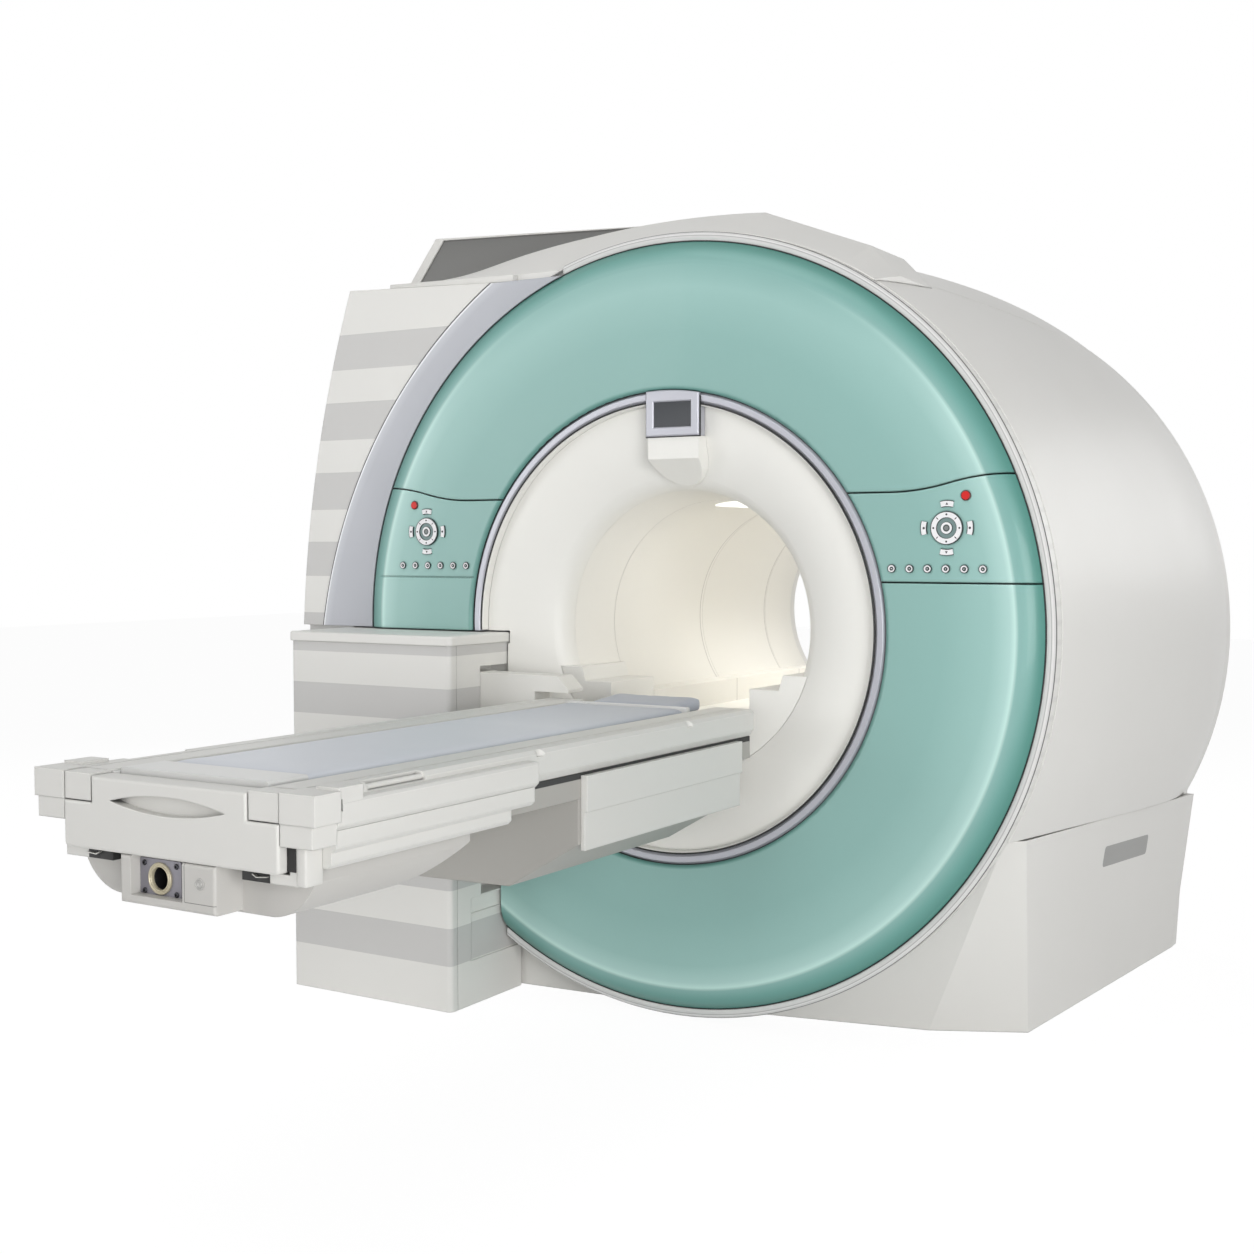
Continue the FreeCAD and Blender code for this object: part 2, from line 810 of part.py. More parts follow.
def side_panel_left():
    """Upright panel left of the crescent, with the horizontal stripes."""
    body = piece("side_panel_left")
    seam = s.seam * 0.6
    shape = [
        (-band_outer_top - seam, band_top + 2),
        (-side_corner, s.side_height, SIDE_ARC),
        (-s.side_width, side_low),
        (-band_outer_low - seam, side_low, -(band_arc + seam)),
    ]
    slab(body, "XZ", [shape], -4, 24)
    return body


def side_case_left():
    """Casing on the left behind the striped panel, from the floor to the hood."""
    body = piece("side_case_left")
    front = 24 + s.fit_gap
    back = front + s.side_case_depth
    low_inner = circle_across(case_inner, s.skirt_height)
    shape = [
        (-circle_across(case_inner, case_top), case_top),
        (-side_corner, s.side_height, SIDE_ARC),
        (-s.side_width, side_low, SIDE_ARC),
        (-s.side_width + 120, 0),
        (-low_inner, 0),
        (-low_inner, s.skirt_height, -case_inner),
    ]
    slab(body, "XZ", [shape], front, back)
    outside = -float(side_corner) + 50
    rounded(body, 40, lambda edge: edge.BoundBox.YMin > float(back) - 0.1 and edge.BoundBox.XMax < outside
            and edge.BoundBox.ZLength > 500, "Chamfer")
    column_room = box(-s.column_left - s.cap_overhang - s.seam, 0, -10, side_low - 1)
    slab(body, "XZ", [column_room], front - 10, s.column_back + s.fit_gap, "Pocket")
    return body


def service_turret():
    """Fairing on the left shoulder over the service neck, with a sunk face beside a slanted pillar."""
    body = piece("service_turret")
    front = s.hood_back + s.fit_gap
    top, left = s.turret_height, -s.side_width
    slab(body, "XZ", [[
        (-250, top - 22),
        (left + 184, top + 22),
        (left + 63, top - 132),
        (left + 23, top - 450),
        (left + 58, top - 750),
        (left + 398, top - 750),
        (-250, top - 260),
    ]], front, front + s.turret_depth)
    slab(body, "XZ", [[
        (-200, top - 26),
        (left + 214, top + 14),
        (left + 58, top - 190),
        (left + 58, top - 400),
        (-200, top - 400),
    ]], front - 1, front + 6, "Pocket")
    lofted(body, barrel_sections(s.fit_gap * 2), "SubtractiveLoft")
    return body


# ---------------------------------------------------------------- barrel, hood and skirts
# The parting line of the top cover in plan: (share of the ring's radius, share of the barrel's length).
PARTING = ((0.46, 0.0), (0.55, 0.31), (0.68, 0.66), (0.785, 0.89), (0.833, 1.1))


def barrel_shell(name):
    """The whole shell of the barrel: a loft through its stations less the loft inside it."""
    body = piece(name)
    lofted(body, barrel_sections(0))
    lofted(body, barrel_sections(-s.barrel_wall, 1.0), "SubtractiveLoft")
    return body


def parting_points(side, shift):
    """Parting line from front to back on one side, moved outwards by a shift."""
    return [
        (side * (s.ring_radius * across + shift), s.barrel_front + barrel_length * place)
        for across, place in PARTING
    ]


def barrel_side():
    """One side of the barrel, from the parting line down to the skirt, as seen on the left."""
    body = barrel_shell("barrel_side")
    parts.remove(body)
    line = parting_points(-1, s.seam / 2)
    right = [(far, s.barrel_back + 300), (far, -200), (line[0][0], -200)]
    slab(body, "XY", [line + right], -200, s.axis_height + far, "Pocket")
    below = [(-far, -200), (2 * far, -200)] + skirt_line(s.seam / 2)[::-1]
    slab(body, "YZ", [below], -far, far, "Pocket")
    return body


def barrel_cover_left(barrel):
    """Left barrel cover: one side of the barrel less the room that the column takes."""
    room = doc.addObject("Part::Box", "column_room")
    left = s.column_left + s.cap_overhang
    room.Placement.Base = V(-float(left), 0, 0)
    bind(room, "Placement.Base.x", -left)
    sizes = (("Length", left + beside_column), ("Width", s.column_back + s.seam), ("Height", side_low))
    for prop, value in sizes:
        setattr(room, prop, float(value))
        bind(room, prop, value)
    cover = doc.addObject("Part::Cut", "barrel_cover_left")
    cover.Label = "barrel_cover_left"
    cover.Base = barrel
    cover.Tool = room
    parts.append(cover)


def barrel_cover_right(barrel):
    """Right barrel cover: one side of the barrel, mirrored."""
    cover = doc.addObject("Part::Mirroring", "barrel_cover_right")
    cover.Label = "barrel_cover_right"
    cover.Source = barrel
    cover.Normal = V(1, 0, 0)
    parts.append(cover)


def top_cover():
    """Cover over the barrel's top between the two parting lines."""
    body = barrel_shell("top_cover")
    for side in (1, -1):
        line = parting_points(side, -s.seam / 2)
        outside = [(side * far, s.barrel_back + 300), (side * far, -200), (line[0][0], -200)]
        slab(body, "XY", [line + outside], -200, s.axis_height + far, "Pocket")
    slab(body, "XZ", [box(-far, far, -200, s.axis_height)], -100, s.barrel_back + 100, "Pocket")
    return body


def rear_cover():
    """Moulded cover over the back of the magnet down to the floor, with the flared rear mouth."""
    body = piece("rear_cover")
    drop = s.axis_height - s.barrel_drop
    radius = outer_trim_radius + s.barrel_swell * BARREL_STATIONS[-1][1]
    front, back = s.barrel_back + s.fit_gap, s.barrel_back + s.rear_thickness
    shoulder = root(radius * radius - (drop - skirt_line_back) * (drop - skirt_line_back))
    low = [
        (-s.skirt_width, 0), (s.skirt_width, 0), (shoulder, skirt_line_back), (shoulder, drop),
        (-shoulder, drop), (-shoulder, skirt_line_back),
    ]
    slab(body, "XZ", [low], front, back)
    slab(body, "XZ", [("circle", 0, drop, radius)], front, back)
    slab(body, "XY", [box(-far, far, -far, 2 * far)], -far, 0, "Pocket")
    edge_line = float(back) - 0.1
    rounded(body, 60, lambda edge: edge.BoundBox.YMin > edge_line and edge.BoundBox.ZMax > 1, "Chamfer")
    boss = s.bore_radius + s.rear_flare + 30
    hollow = [("circle", 0, s.axis_height, radius - 42 - s.barrel_drop), ("circle", 0, s.axis_height, boss)]
    slab(body, "XZ", hollow, front - 1, back - 22, "Pocket")
    throat, flare = s.axis_height + s.bore_radius, s.rear_flare
    turned(body, [box(rear_throat, front + 10, throat, throat + s.liner_wall)], s.axis_height)
    turned(body, [[
        (rear_throat - 1, s.axis_height), (rear_throat - 1, throat), (rear_throat, throat, flare),
        (back, throat + flare), (back + 1, throat + flare), (back + 1, s.axis_height),
    ]], s.axis_height, "Groove")
    return body


def hood():
    """Cover over the top of the ring: its front slopes up to a ridge, and it runs out on the left."""
    body = piece("hood")
    front, ridge = 24 + s.fit_gap, s.hood_ridge
    radius, top = outer_trim_radius + 4, s.hood_height
    tip, tip_low = 70 - s.ring_radius, s.side_height + 5
    start, peak = 0.36 * -s.ring_radius, 0.18 * s.ring_radius
    fold, end = 0.48 * s.ring_radius, 0.56 * s.ring_radius
    inside = s.axis_height + 0.63 * s.ring_radius
    low = [(start, inside), (end, inside)]
    tail = [(tip, tip_low), (6 - circle_across(case_inner, case_top), tip_low - 8)]
    foot = low + [
        (end, circle_height(radius, end), radius),
        (fold, circle_height(radius, fold), radius),
        (peak, circle_height(radius, peak), radius),
        (start, circle_height(radius, start)),
        (tip, tip_low + 3),
    ] + tail
    brow = low + [
        (end, top - 203),
        (fold, top - 118),
        (peak, top, 2900.0),
        (start, top - 10, 2900.0),
        (tip, tip_low + 6),
    ] + tail
    lofted(body, [("XZ", -front, foot), ("XZ", -ridge, brow)], ruled=True)
    slab(body, "XZ", [brow], ridge, s.hood_back)
    slab(body, "XZ", [("circle", 0, s.axis_height, outer_trim_radius + s.fit_gap)],
         front - 1, s.barrel_front + 1, "Pocket")
    lofted(body, barrel_sections(s.fit_gap * 2), "SubtractiveLoft")
    return body


def skirt(side):
    """Lower cover from the floor up to the skirt line, a folded shell open inside."""
    body = piece(f"skirt_{'right' if side > 0 else 'left'}")
    high = s.skirt_height + 60
    middle = side * s.fit_gap
    lofted(body, [
        ("XY", 0.0, skirt_plan(side, 0.0, 0, middle)),
        ("XY", high, skirt_plan(side, 0.0, 1, middle)),
    ], ruled=True)
    lofted(body, [
        ("XY", -1.0, skirt_plan(side, s.skirt_wall, 0, -side)),
        ("XY", high + 1, skirt_plan(side, s.skirt_wall, 1, -side)),
    ], "SubtractiveLoft", ruled=True)
    above = skirt_line(-s.seam / 2) + [(2 * far, s.axis_height), (-far, s.axis_height)]
    slab(body, "YZ", [above], -far, far, "Pocket")
    return body


# ---------------------------------------------------------------- display
def display_bezel():
    """Silver frame of the display, with the recess for its screen and a top that follows the trim."""
    body = piece("display_bezel")
    low, high = s.display_bottom, s.display_bottom + s.display_height
    radius = trim_outer
    slab(body, "XZ", [[
        (display_left, low), (display_right, low),
        (display_right, circle_height(radius, display_right), radius),
        (display_left, circle_height(radius, display_left)),
    ]], face_y - 4, -2.0)
    frame = 24.0
    screen = box(display_left + frame, display_right - frame, low + frame, high - frame - 8)
    slab(body, "XZ", [screen], face_y - 10, face_y + 2, "Pocket")
    rounded(body, 3, lambda edge: edge.BoundBox.YMax < float(face_y) - 3.9, "Chamfer")
    return body


def display_pod():
    """Moulded pod under the display that runs out on the funnel."""
    body = piece("display_pod")
    top = s.display_bottom - s.fit_gap
    middle, half = s.display_across, s.display_width / 2 - 3
    low = top - s.pod_height
    belly = ((half * half) + 78 * 78) / (2 * 78)
    slab(body, "XZ", [[
        (middle - half, top), (middle - half, top - 50, belly), (middle, low, belly),
        (middle + half, top - 50), (middle + half, top),
    ]], face_y + 4, 90.0)
    mouth, blend, throat = funnel_points(-s.fit_gap)
    turned(body, [[
        (mouth[0], mouth[1] + 100),
        (mouth[0], mouth[1], large_arc + s.fit_gap),
        (blend[0], blend[1], small_arc + s.fit_gap),
        throat,
        (400, throat[1]),
        (400, mouth[1] + 100),
    ]], s.axis_height, "Groove")
    slab(body, "YZ", [[(face_y, top - 56), (face_y, low - 20), (80, low - 20)]], -200, 200, "Pocket")
    return body


# ---------------------------------------------------------------- lift column
slot_front = 122.4
slot_back = 20.0
carriage_deep = 66.0


def column():
    """Lift column: a closed housing with the carriage slot and the recessed panels on its right."""
    body = piece("column")
    plan = box(-s.column_left, -s.column_right, -s.column_front, s.column_back)
    slab(body, "XY", [plan], 0.0, s.column_height)
    rounded(body, 14, lambda edge: along(edge, V(0, 0, 1)))
    slot = box(-slot_front, slot_back, s.table_top + 80 - s.lift_travel - 240, s.table_top + 80)
    slab(body, "YZ", [slot], -s.column_right - carriage_deep - 2, -s.column_right + 1, "Pocket")
    panels = [box(-169, 60, 124, 254), box(-169, 60, 258, 300)]
    slab(body, "YZ", panels, -s.column_right - 6, -s.column_right + 1, "Pocket")
    seam = box(-s.column_front + 30, -s.column_front + 32, -1, s.column_height + 1)
    slab(body, "YZ", [seam], -s.column_right - 2, -s.column_right + 1, "Pocket")
    return body


def column_cap():
    """Lid on the column, a little wider than the housing."""
    body = piece("column_cap")
    over = s.cap_overhang
    plan = box(-s.column_left - over, -s.column_right + over, -s.column_front - over, s.column_back)
    slab(body, "XY", [plan], s.column_height, s.column_height + s.cap_height)
    rounded(body, 16, lambda edge: along(edge, V(0, 0, 1)))
    top = float(s.column_height + s.cap_height)
    rounded(body, 6, lambda edge: edge.BoundBox.ZMin > top - 0.1)
    return body


# ---------------------------------------------------------------- table
table_front = -s.table_front
table_half = s.table_width / 2
tabletop_half = s.tabletop_width / 2
tabletop_low = s.table_top - s.tabletop_thickness
frame_top = tabletop_low - s.fit_gap
frame_low = frame_top - s.frame_thickness
frame_half = s.arm_width / 2
end_back = table_front + s.end_cover_depth
cover_half = rail_split = tabletop_half + 67
arm_clear = 48.0


def table_frame():
    """Beam under the tabletop."""
    body = piece("table_frame")
    start = table_front + s.block_length + 2
    slab(body, "XZ", [box(-frame_half, frame_half, frame_low, frame_top)], start, -s.table_back)
    web = box(-cover_half + 30, cover_half - 30, frame_low, frame_top)
    slab(body, "XZ", [web], end_back, start)
    return body


def end_cover():
    """Cover across the foot of the table: a T-shaped moulding with the lens-shaped handle."""
    body = piece("end_cover")
    top = s.table_top - 2
    shoulder = tabletop_low + 15
    low = top - s.end_cover_drop
    neck = tabletop_half - 6
    shape = [
        (-cover_half, low), (cover_half, low), (cover_half, shoulder), (neck, shoulder), (neck, top),
        (-neck, top), (-neck, shoulder), (-cover_half, shoulder),
    ]
    slab(body, "XZ", [shape], table_front - 3, end_back)
    rounded(body, 9, lambda edge: along(edge, V(0, 1, 0)) and edge.BoundBox.ZMax < float(low) + 1)
    rounded(body, 5, lambda edge: edge.BoundBox.YMax < float(table_front) - 2.9)
    lens, rise = 142.0, 17.0
    bend = (lens * lens + rise * rise) / (2 * rise)
    middle = tabletop_low + 22
    handle = [(-lens, middle, bend), (lens, middle, bend)]
    slab(body, "XZ", [handle], table_front - 4, table_front + 18, "Pocket")
    return body


def side_rail(side):
    """Rail beside the tabletop, with its end blocks and the stepped cover along its foot half."""
    body = piece(f"side_rail_{'right' if side > 0 else 'left'}")
    low, top = tabletop_low, s.table_top + 3
    inner, outer = tabletop_half + 2, table_half - 34
    blocks_end = table_front + s.block_length
    section = [
        (inner, low), (outer - 13, low), (outer, low + 17), (outer, top - 8), (outer - 8, top),
        (inner + 3, top), (inner, top - 3),
    ]
    slab(body, "XZ", [sided(section, side)], end_back, -s.table_back)
    # end blocks: a square in line with the rail, and an upper and a lower block outside it
    square = box(inner - 4, rail_split - 1, low + 17, top - 1)
    slab(body, "XZ", [sided(square, side)], table_front, end_back)
    upper = box(rail_split + 2, table_half, low + 16, top + 1)
    slab(body, "XZ", [sided(upper, side)], table_front - 2, blocks_end + 3)
    lower = box(rail_split + 2, table_half - 8, low - 22, low + 17)
    slab(body, "XZ", [sided(lower, side)], table_front, blocks_end + 1)
    # cover in three steps with bevelled lower edges, and the hump at its foot end
    beside = frame_half + s.fit_gap
    cover = [
        (beside, low), (table_half - 13, low), (table_half - 4, low + 9), (table_half - 4, low + 46),
        (table_half - 9, low + 51), (outer - 1, low + 51), (outer - 1, low + 40), (beside, low + 40),
    ]
    slab(body, "XZ", [sided(cover, side)], blocks_end, blocks_end + s.side_cover_length - 60)
    hump = box(outer - 20, table_half - 5, low + 40, top + 6)
    slab(body, "XZ", [sided(hump, side)], blocks_end + 2, blocks_end + 65)
    for drop, inset, shorter in ((36, 10, 66), (65, 20, 132)):
        edge, base = table_half - inset, low - drop
        step = [(beside, base), (edge - 8, base), (edge, base + 8), (edge, base + 37), (beside, base + 37)]
        slab(body, "XZ", [sided(step, side)], blocks_end, blocks_end + s.side_cover_length - shorter)
    bracket = [
        (rail_split - 64, low - 92), (rail_split + 21, low - 92), (rail_split + 21, low - 21),
        (rail_split + 5, low - 21), (rail_split + 5, low - 73), (rail_split - 64, low - 73),
    ]
    slab(body, "XZ", [sided(bracket, side)], table_front + 20, blocks_end)
    hole = box(blocks_end + 4, blocks_end + 12, low + 34, low + 54)
    face = table_half - 5
    low_x, high_x = (face - 8, face + 10) if side > 0 else (-face - 10, -face + 8)
    slab(body, "YZ", [hole], low_x, high_x, "Pocket")
    # recess for the accessory rod
    recess = box(outer - 25, outer + 40, top - 15, top + 30)
    slab(body, "XZ", [sided(recess, side)], blocks_end + 110, blocks_end + 270, "Pocket")
    rod = ("circle", side * (outer - 12), top - 10, 5.5)
    slab(body, "XZ", [rod], blocks_end + 109, blocks_end + 271)
    # two finger scoops in the outer edge, for lifting the accessory rail
    scoops = [("circle", side * (outer + 3), -s.table_back - behind, 14.0) for behind in (330, 950)]
    slab(body, "XY", scoops, top - 14, top + 10, "Pocket")
    groove = box(rail_split - 1, rail_split + 2, top - 5, top + 30)
    slab(body, "XZ", [sided(groove, side)], blocks_end + 2, -s.table_back + 10, "Pocket")
    return body


def lift_arm():
    """Arm under the table: a bevelled box, a cross beam and the carriage that runs in the column."""
    body = piece("lift_arm")
    top = frame_low
    low = top - s.arm_depth
    face = [
        (-frame_half, low + 21), (-frame_half + 60, low), (120, low + 6), (frame_half, low + 113),
        (frame_half, top), (-frame_half, top),
    ]
    slab(body, "XZ", [face], -s.arm_front, -s.arm_back)
    back = -arm_clear
    slab(body, "XZ", [box(-s.column_right + 5, 200, top - 145, top)], -s.arm_back - 1, back)
    beside, over = -table_half - 6, s.table_top + 18
    block = [
        (-s.column_right + 5, top - 20), (beside, top - 20), (beside, over), (beside + 110, over),
        (beside + 110, over + 10), (beside + 75, over + 45), (-s.column_right + 5, over + 45),
    ]
    slab(body, "XZ", [block], -122, back)
    carriage = box(-s.column_right - carriage_deep, -s.column_right + 6, top - 20, s.table_top + 65)
    slab(body, "XZ", [carriage], -122, back - 4)
    return body


def arm_cover():
    """Two-step cover on the arm's right side."""
    body = piece("arm_cover")
    inner = frame_half + s.fit_gap
    front, back = -s.arm_front + 10, -s.arm_back + 22
    lip = frame_low - 28
    slab(body, "YZ", [box(front, back, lip, frame_top - 5)], inner, inner + 16)
    slab(body, "YZ", [box(front, back, lip - 82, lip + 1)], inner, inner + 10)
    return body


def connector_box():
    """Drive housing under the foot of the table, with the socket for the trolley's plug."""
    body = piece("connector_box")
    front = table_front - 3
    top = s.table_top - 2 - s.end_cover_drop - s.fit_gap
    low = top - s.box_height
    half = s.box_width / 2
    slab(body, "XZ", [box(-half, half, low, top)], front, front + 270)
    rounded(body, 6, lambda edge: edge.BoundBox.YMax < float(front) + 0.1)
    # hull behind the housing, with rounded flanks and a rising back
    first, last = front + 65, front + 500
    keel, flank, side_low_edge = 178.0, 285.0, low + 64
    slab(body, "XZ", [[
        (-keel, low - 4), (keel, low - 4, 110.0), (flank, side_low_edge), (flank, top),
        (-flank, top), (-flank, side_low_edge, 110.0),
    ]], first, last)
    slab(body, "YZ", [[(last - 170, low - 10), (last + 5, low - 10), (last + 5, top - 15)]],
         -flank - 5, flank + 5, "Pocket")
    slab(body, "XY", [box(-240, 240, front + 110, last)], top - 1, frame_low - s.fit_gap)
    centre = low + 46
    right = half - 79
    recess = box(right - s.recess_width, right, low + 16, top + 5)
    slab(body, "XZ", [recess], front - 5, front + s.recess_depth, "Pocket")
    socket = ("circle", right - 77, centre, s.socket_radius)
    slab(body, "XZ", [socket], front, front + s.recess_depth + s.socket_depth, "Pocket")
    return body


def tabletop():
    """Sliding tabletop: a shallow tray that narrows at the head, with a bar across its foot."""
    body = piece("tabletop")
    half, top, low = tabletop_half, s.table_top, tabletop_low
    tray = top - s.tray_depth
    front = end_back + s.fit_gap
    section = [
        (-half, low + 10), (-half + 10, low), (half - 10, low), (half, low + 10),
        (half, top - 2), (half - 2, top), (half - 9, top), (half - 13, tray),
        (-half + 13, tray), (-half + 9, top), (-half + 2, top), (-half, top - 2),
    ]
    slab(body, "XZ", [section], front, s.head_end)
    bar = [
        (-half + 14, tray - 1), (half - 14, tray - 1), (half - 14, top + 4), (half - 18, top + 8),
        (-half + 18, top + 8), (-half + 14, top + 4),
    ]
    slab(body, "XZ", [bar], front + 12, front + 12 + s.foot_bar)
    narrow = s.head_width / 2
    for side in (1, -1):
        corner = [
            (half + 50, s.head_end - 90), (half + 50, s.head_end + 50), (narrow, s.head_end + 50),
            (narrow, s.head_end - 15), (half, s.head_end - 90),
        ]
        slab(body, "XY", [sided(corner, side)], low - 20, top + 50, "Pocket")
    return body


def mattress():
    """Flat pad in the tabletop's tray, with a raised head section."""
    body = piece("mattress")
    half, low = s.mattress_width / 2, s.table_top - s.tray_depth + s.fit_gap
    top = low + s.mattress_thickness
    crown = 4.0
    bend = (half * half + crown * crown) / (2 * crown)
    front = end_back + s.fit_gap + 12 + s.foot_bar + s.fit_gap
    split = s.head_end - s.head_pad_length
    pad = [(-half, low), (half, low), (half, top - crown, bend), (-half, top - crown)]
    slab(body, "XZ", [pad], front, split)
    head = s.head_width / 2 - 15
    slab(body, "YZ", [[
        (split - 1, low), (s.head_end - 8, low), (s.head_end - 8, top + 14), (split - 1, top - 2),
    ]], -head, head)
    return body


floor_plate()
magnet_vessel()
bore_liner()
bore_funnel()
docking_trough()
bore_deck()
cover_upper()
cover_lower()
inner_trim()
outer_trim()
band_left()
side_panel_left()
side_case_left()
service_turret()
side_of_barrel = barrel_side()
barrel_cover_left(side_of_barrel)
barrel_cover_right(side_of_barrel)
for direction in (1, -1):
    skirt(direction)
    control_panel(direction)
    for key in KEYS:
        control_key(key, direction)
top_cover()
rear_cover()
hood()
display_bezel()
display_pod()
column()
column_cap()
table_frame()
lift_arm()
arm_cover()
connector_box()
end_cover()
tabletop()
mattress()
for direction in (1, -1):
    side_rail(direction)
doc.recompute()

problems = [
    f"{thing.Name}: {thing.State}" for thing in doc.Objects if {"Invalid", "Error"} & set(thing.State)
]
for body in parts:
    if body.Shape.isNull() or not body.Shape.isValid():
        problems.append(f"{body.Label}: shape is null or not valid")
for cut in cuts:
    if cut.Shape.Volume > cut.BaseFeature.Shape.Volume - 1:
        problems.append(f"{cut.Name}: cuts nothing")
if problems:
    raise RuntimeError("; ".join(problems))

os.makedirs("parts", exist_ok=True)
for body in parts:
    body.Shape.exportStep(os.path.join("parts", f"{body.Label}.step"))
print(f"{len(parts)} pieces")
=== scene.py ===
import math

import bmesh
import bpy
from mathutils import Matrix, Vector


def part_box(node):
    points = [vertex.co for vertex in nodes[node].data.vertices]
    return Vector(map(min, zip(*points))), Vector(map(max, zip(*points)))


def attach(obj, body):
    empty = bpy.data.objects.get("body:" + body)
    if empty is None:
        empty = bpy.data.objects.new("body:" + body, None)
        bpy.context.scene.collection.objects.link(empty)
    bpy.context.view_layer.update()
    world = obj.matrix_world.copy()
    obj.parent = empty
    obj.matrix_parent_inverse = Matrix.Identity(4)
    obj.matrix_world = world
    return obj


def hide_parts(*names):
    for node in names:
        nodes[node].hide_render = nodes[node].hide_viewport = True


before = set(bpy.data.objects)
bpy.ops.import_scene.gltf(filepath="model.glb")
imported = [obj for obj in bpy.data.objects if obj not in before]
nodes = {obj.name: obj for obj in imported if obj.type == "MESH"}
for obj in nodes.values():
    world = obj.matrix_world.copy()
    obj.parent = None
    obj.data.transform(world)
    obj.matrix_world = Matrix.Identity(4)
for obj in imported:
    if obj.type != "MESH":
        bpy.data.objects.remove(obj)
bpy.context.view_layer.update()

# ---------------------------------------------------------------- camera
# A standing viewer's eye, to the right of the table's foot, looking at the
# middle of the ring and a little down. The photograph is square.
camera = bpy.data.objects.new("viewpoint", bpy.data.cameras.new("viewpoint"))
camera.location = (2.127, -3.712, 1.272)
looks_at = Vector((-0.13, 0.0, 1.06))
camera.rotation_euler = (looks_at - camera.location).to_track_quat("-Z", "Y").to_euler()
camera.data.sensor_width = 36.0
camera.data.lens = 45.93
bpy.context.scene.collection.objects.link(camera)
bpy.context.scene.camera = camera
bpy.context.scene.view_settings.view_transform = "Standard"

# ---------------------------------------------------------------- floor and light
# A pale seamless floor that keeps a faint shadow, and a white room that gives most
# of its light from overhead. Large soft lamps stand in front, behind and above.
ROOM_LOW, ROOM_HIGH, OVERHEAD = 0.05, 0.34, 0.9
WHITE = (1.0, 1.0, 1.0, 1.0)
FLOOR_GREY = (0.80, 0.80, 0.80, 1.0)
FLOOR_GLOW, GLOW_SHARE = 1.06, 0.9
FLOOR_HALF = 20.0


def feed(tree, socket, value):
    """Give a socket what another socket gives, or a constant."""
    if isinstance(value, bpy.types.NodeSocket):
        tree.links.new(value, socket)
    else:
        socket.default_value = value


def fed(tree, kind, **values):
    """A new node of a kind, whose sockets, named with _ for a space, have been fed."""
    node = tree.nodes.new(kind)
    for name, value in values.items():
        feed(tree, node.inputs[name.replace("_", " ")], value)
    return node


def maths(tree, operation, *values, clamp=False):
    """The result of a sum on values, each a socket or a number."""
    node = tree.nodes.new("ShaderNodeMath")
    node.operation, node.use_clamp = operation, clamp
    for socket, value in zip(node.inputs, values):
        feed(tree, socket, value)
    return node.outputs[0]


def ranged(tree, value, start, end, low=0.0, high=1.0):
    """A value that runs from start to end, mapped to run from low to high."""
    node = fed(tree, "ShaderNodeMapRange", Value=value, From_Min=start, From_Max=end, To_Min=low, To_Max=high)
    return node.outputs["Result"]


def seen_directly(tree):
    """1 for what the eye, a gloss or a clear pane looks at directly, and 0 for the light that it gives."""
    path = tree.nodes.new("ShaderNodeLightPath").outputs
    eye_or_gloss = maths(tree, "MAXIMUM", path["Is Camera Ray"], path["Is Glossy Ray"])
    return maths(tree, "MAXIMUM", eye_or_gloss, path["Is Transmission Ray"])


def blended(tree, share, first, second):
    """One shader that turns into a second with a share."""
    mix = tree.nodes.new("ShaderNodeMixShader")
    for socket, value in zip(mix.inputs, (share, first.outputs[0], second.outputs[0])):
        feed(tree, socket, value)
    return mix.outputs[0]


world = bpy.data.worlds.new("white_room")
bpy.context.scene.world = world
world.use_nodes = True
tree = world.node_tree
tree.nodes.clear()
upwards = fed(tree, "ShaderNodeSeparateXYZ", Vector=tree.nodes.new("ShaderNodeTexCoord").outputs["Generated"])
room_light = ranged(tree, upwards.outputs["Z"], 0.0, OVERHEAD, ROOM_LOW, ROOM_HIGH)
lit = fed(tree, "ShaderNodeBackground", Color=WHITE, Strength=room_light)
shown = fed(tree, "ShaderNodeBackground", Color=WHITE, Strength=1.0)
fed(tree, "ShaderNodeOutputWorld", Surface=blended(tree, seen_directly(tree), lit, shown))

floor_paint = bpy.data.materials.new("pale_floor")
floor_paint.use_nodes = True
tree = floor_paint.node_tree
tree.nodes.clear()
matt = fed(tree, "ShaderNodeBsdfDiffuse", Color=FLOOR_GREY)
glow = fed(tree, "ShaderNodeEmission", Strength=FLOOR_GLOW)
share = maths(tree, "MULTIPLY", seen_directly(tree), GLOW_SHARE)
fed(tree, "ShaderNodeOutputMaterial", Surface=blended(tree, share, matt, glow))

sheet = bmesh.new()
bmesh.ops.create_grid(sheet, x_segments=1, y_segments=1, size=FLOOR_HALF)
floor_mesh = bpy.data.meshes.new("floor")
sheet.to_mesh(floor_mesh)
sheet.free()
floor = bpy.data.objects.new("floor", floor_mesh)
floor_mesh.materials.append(floor_paint)
bpy.context.scene.collection.objects.link(floor)

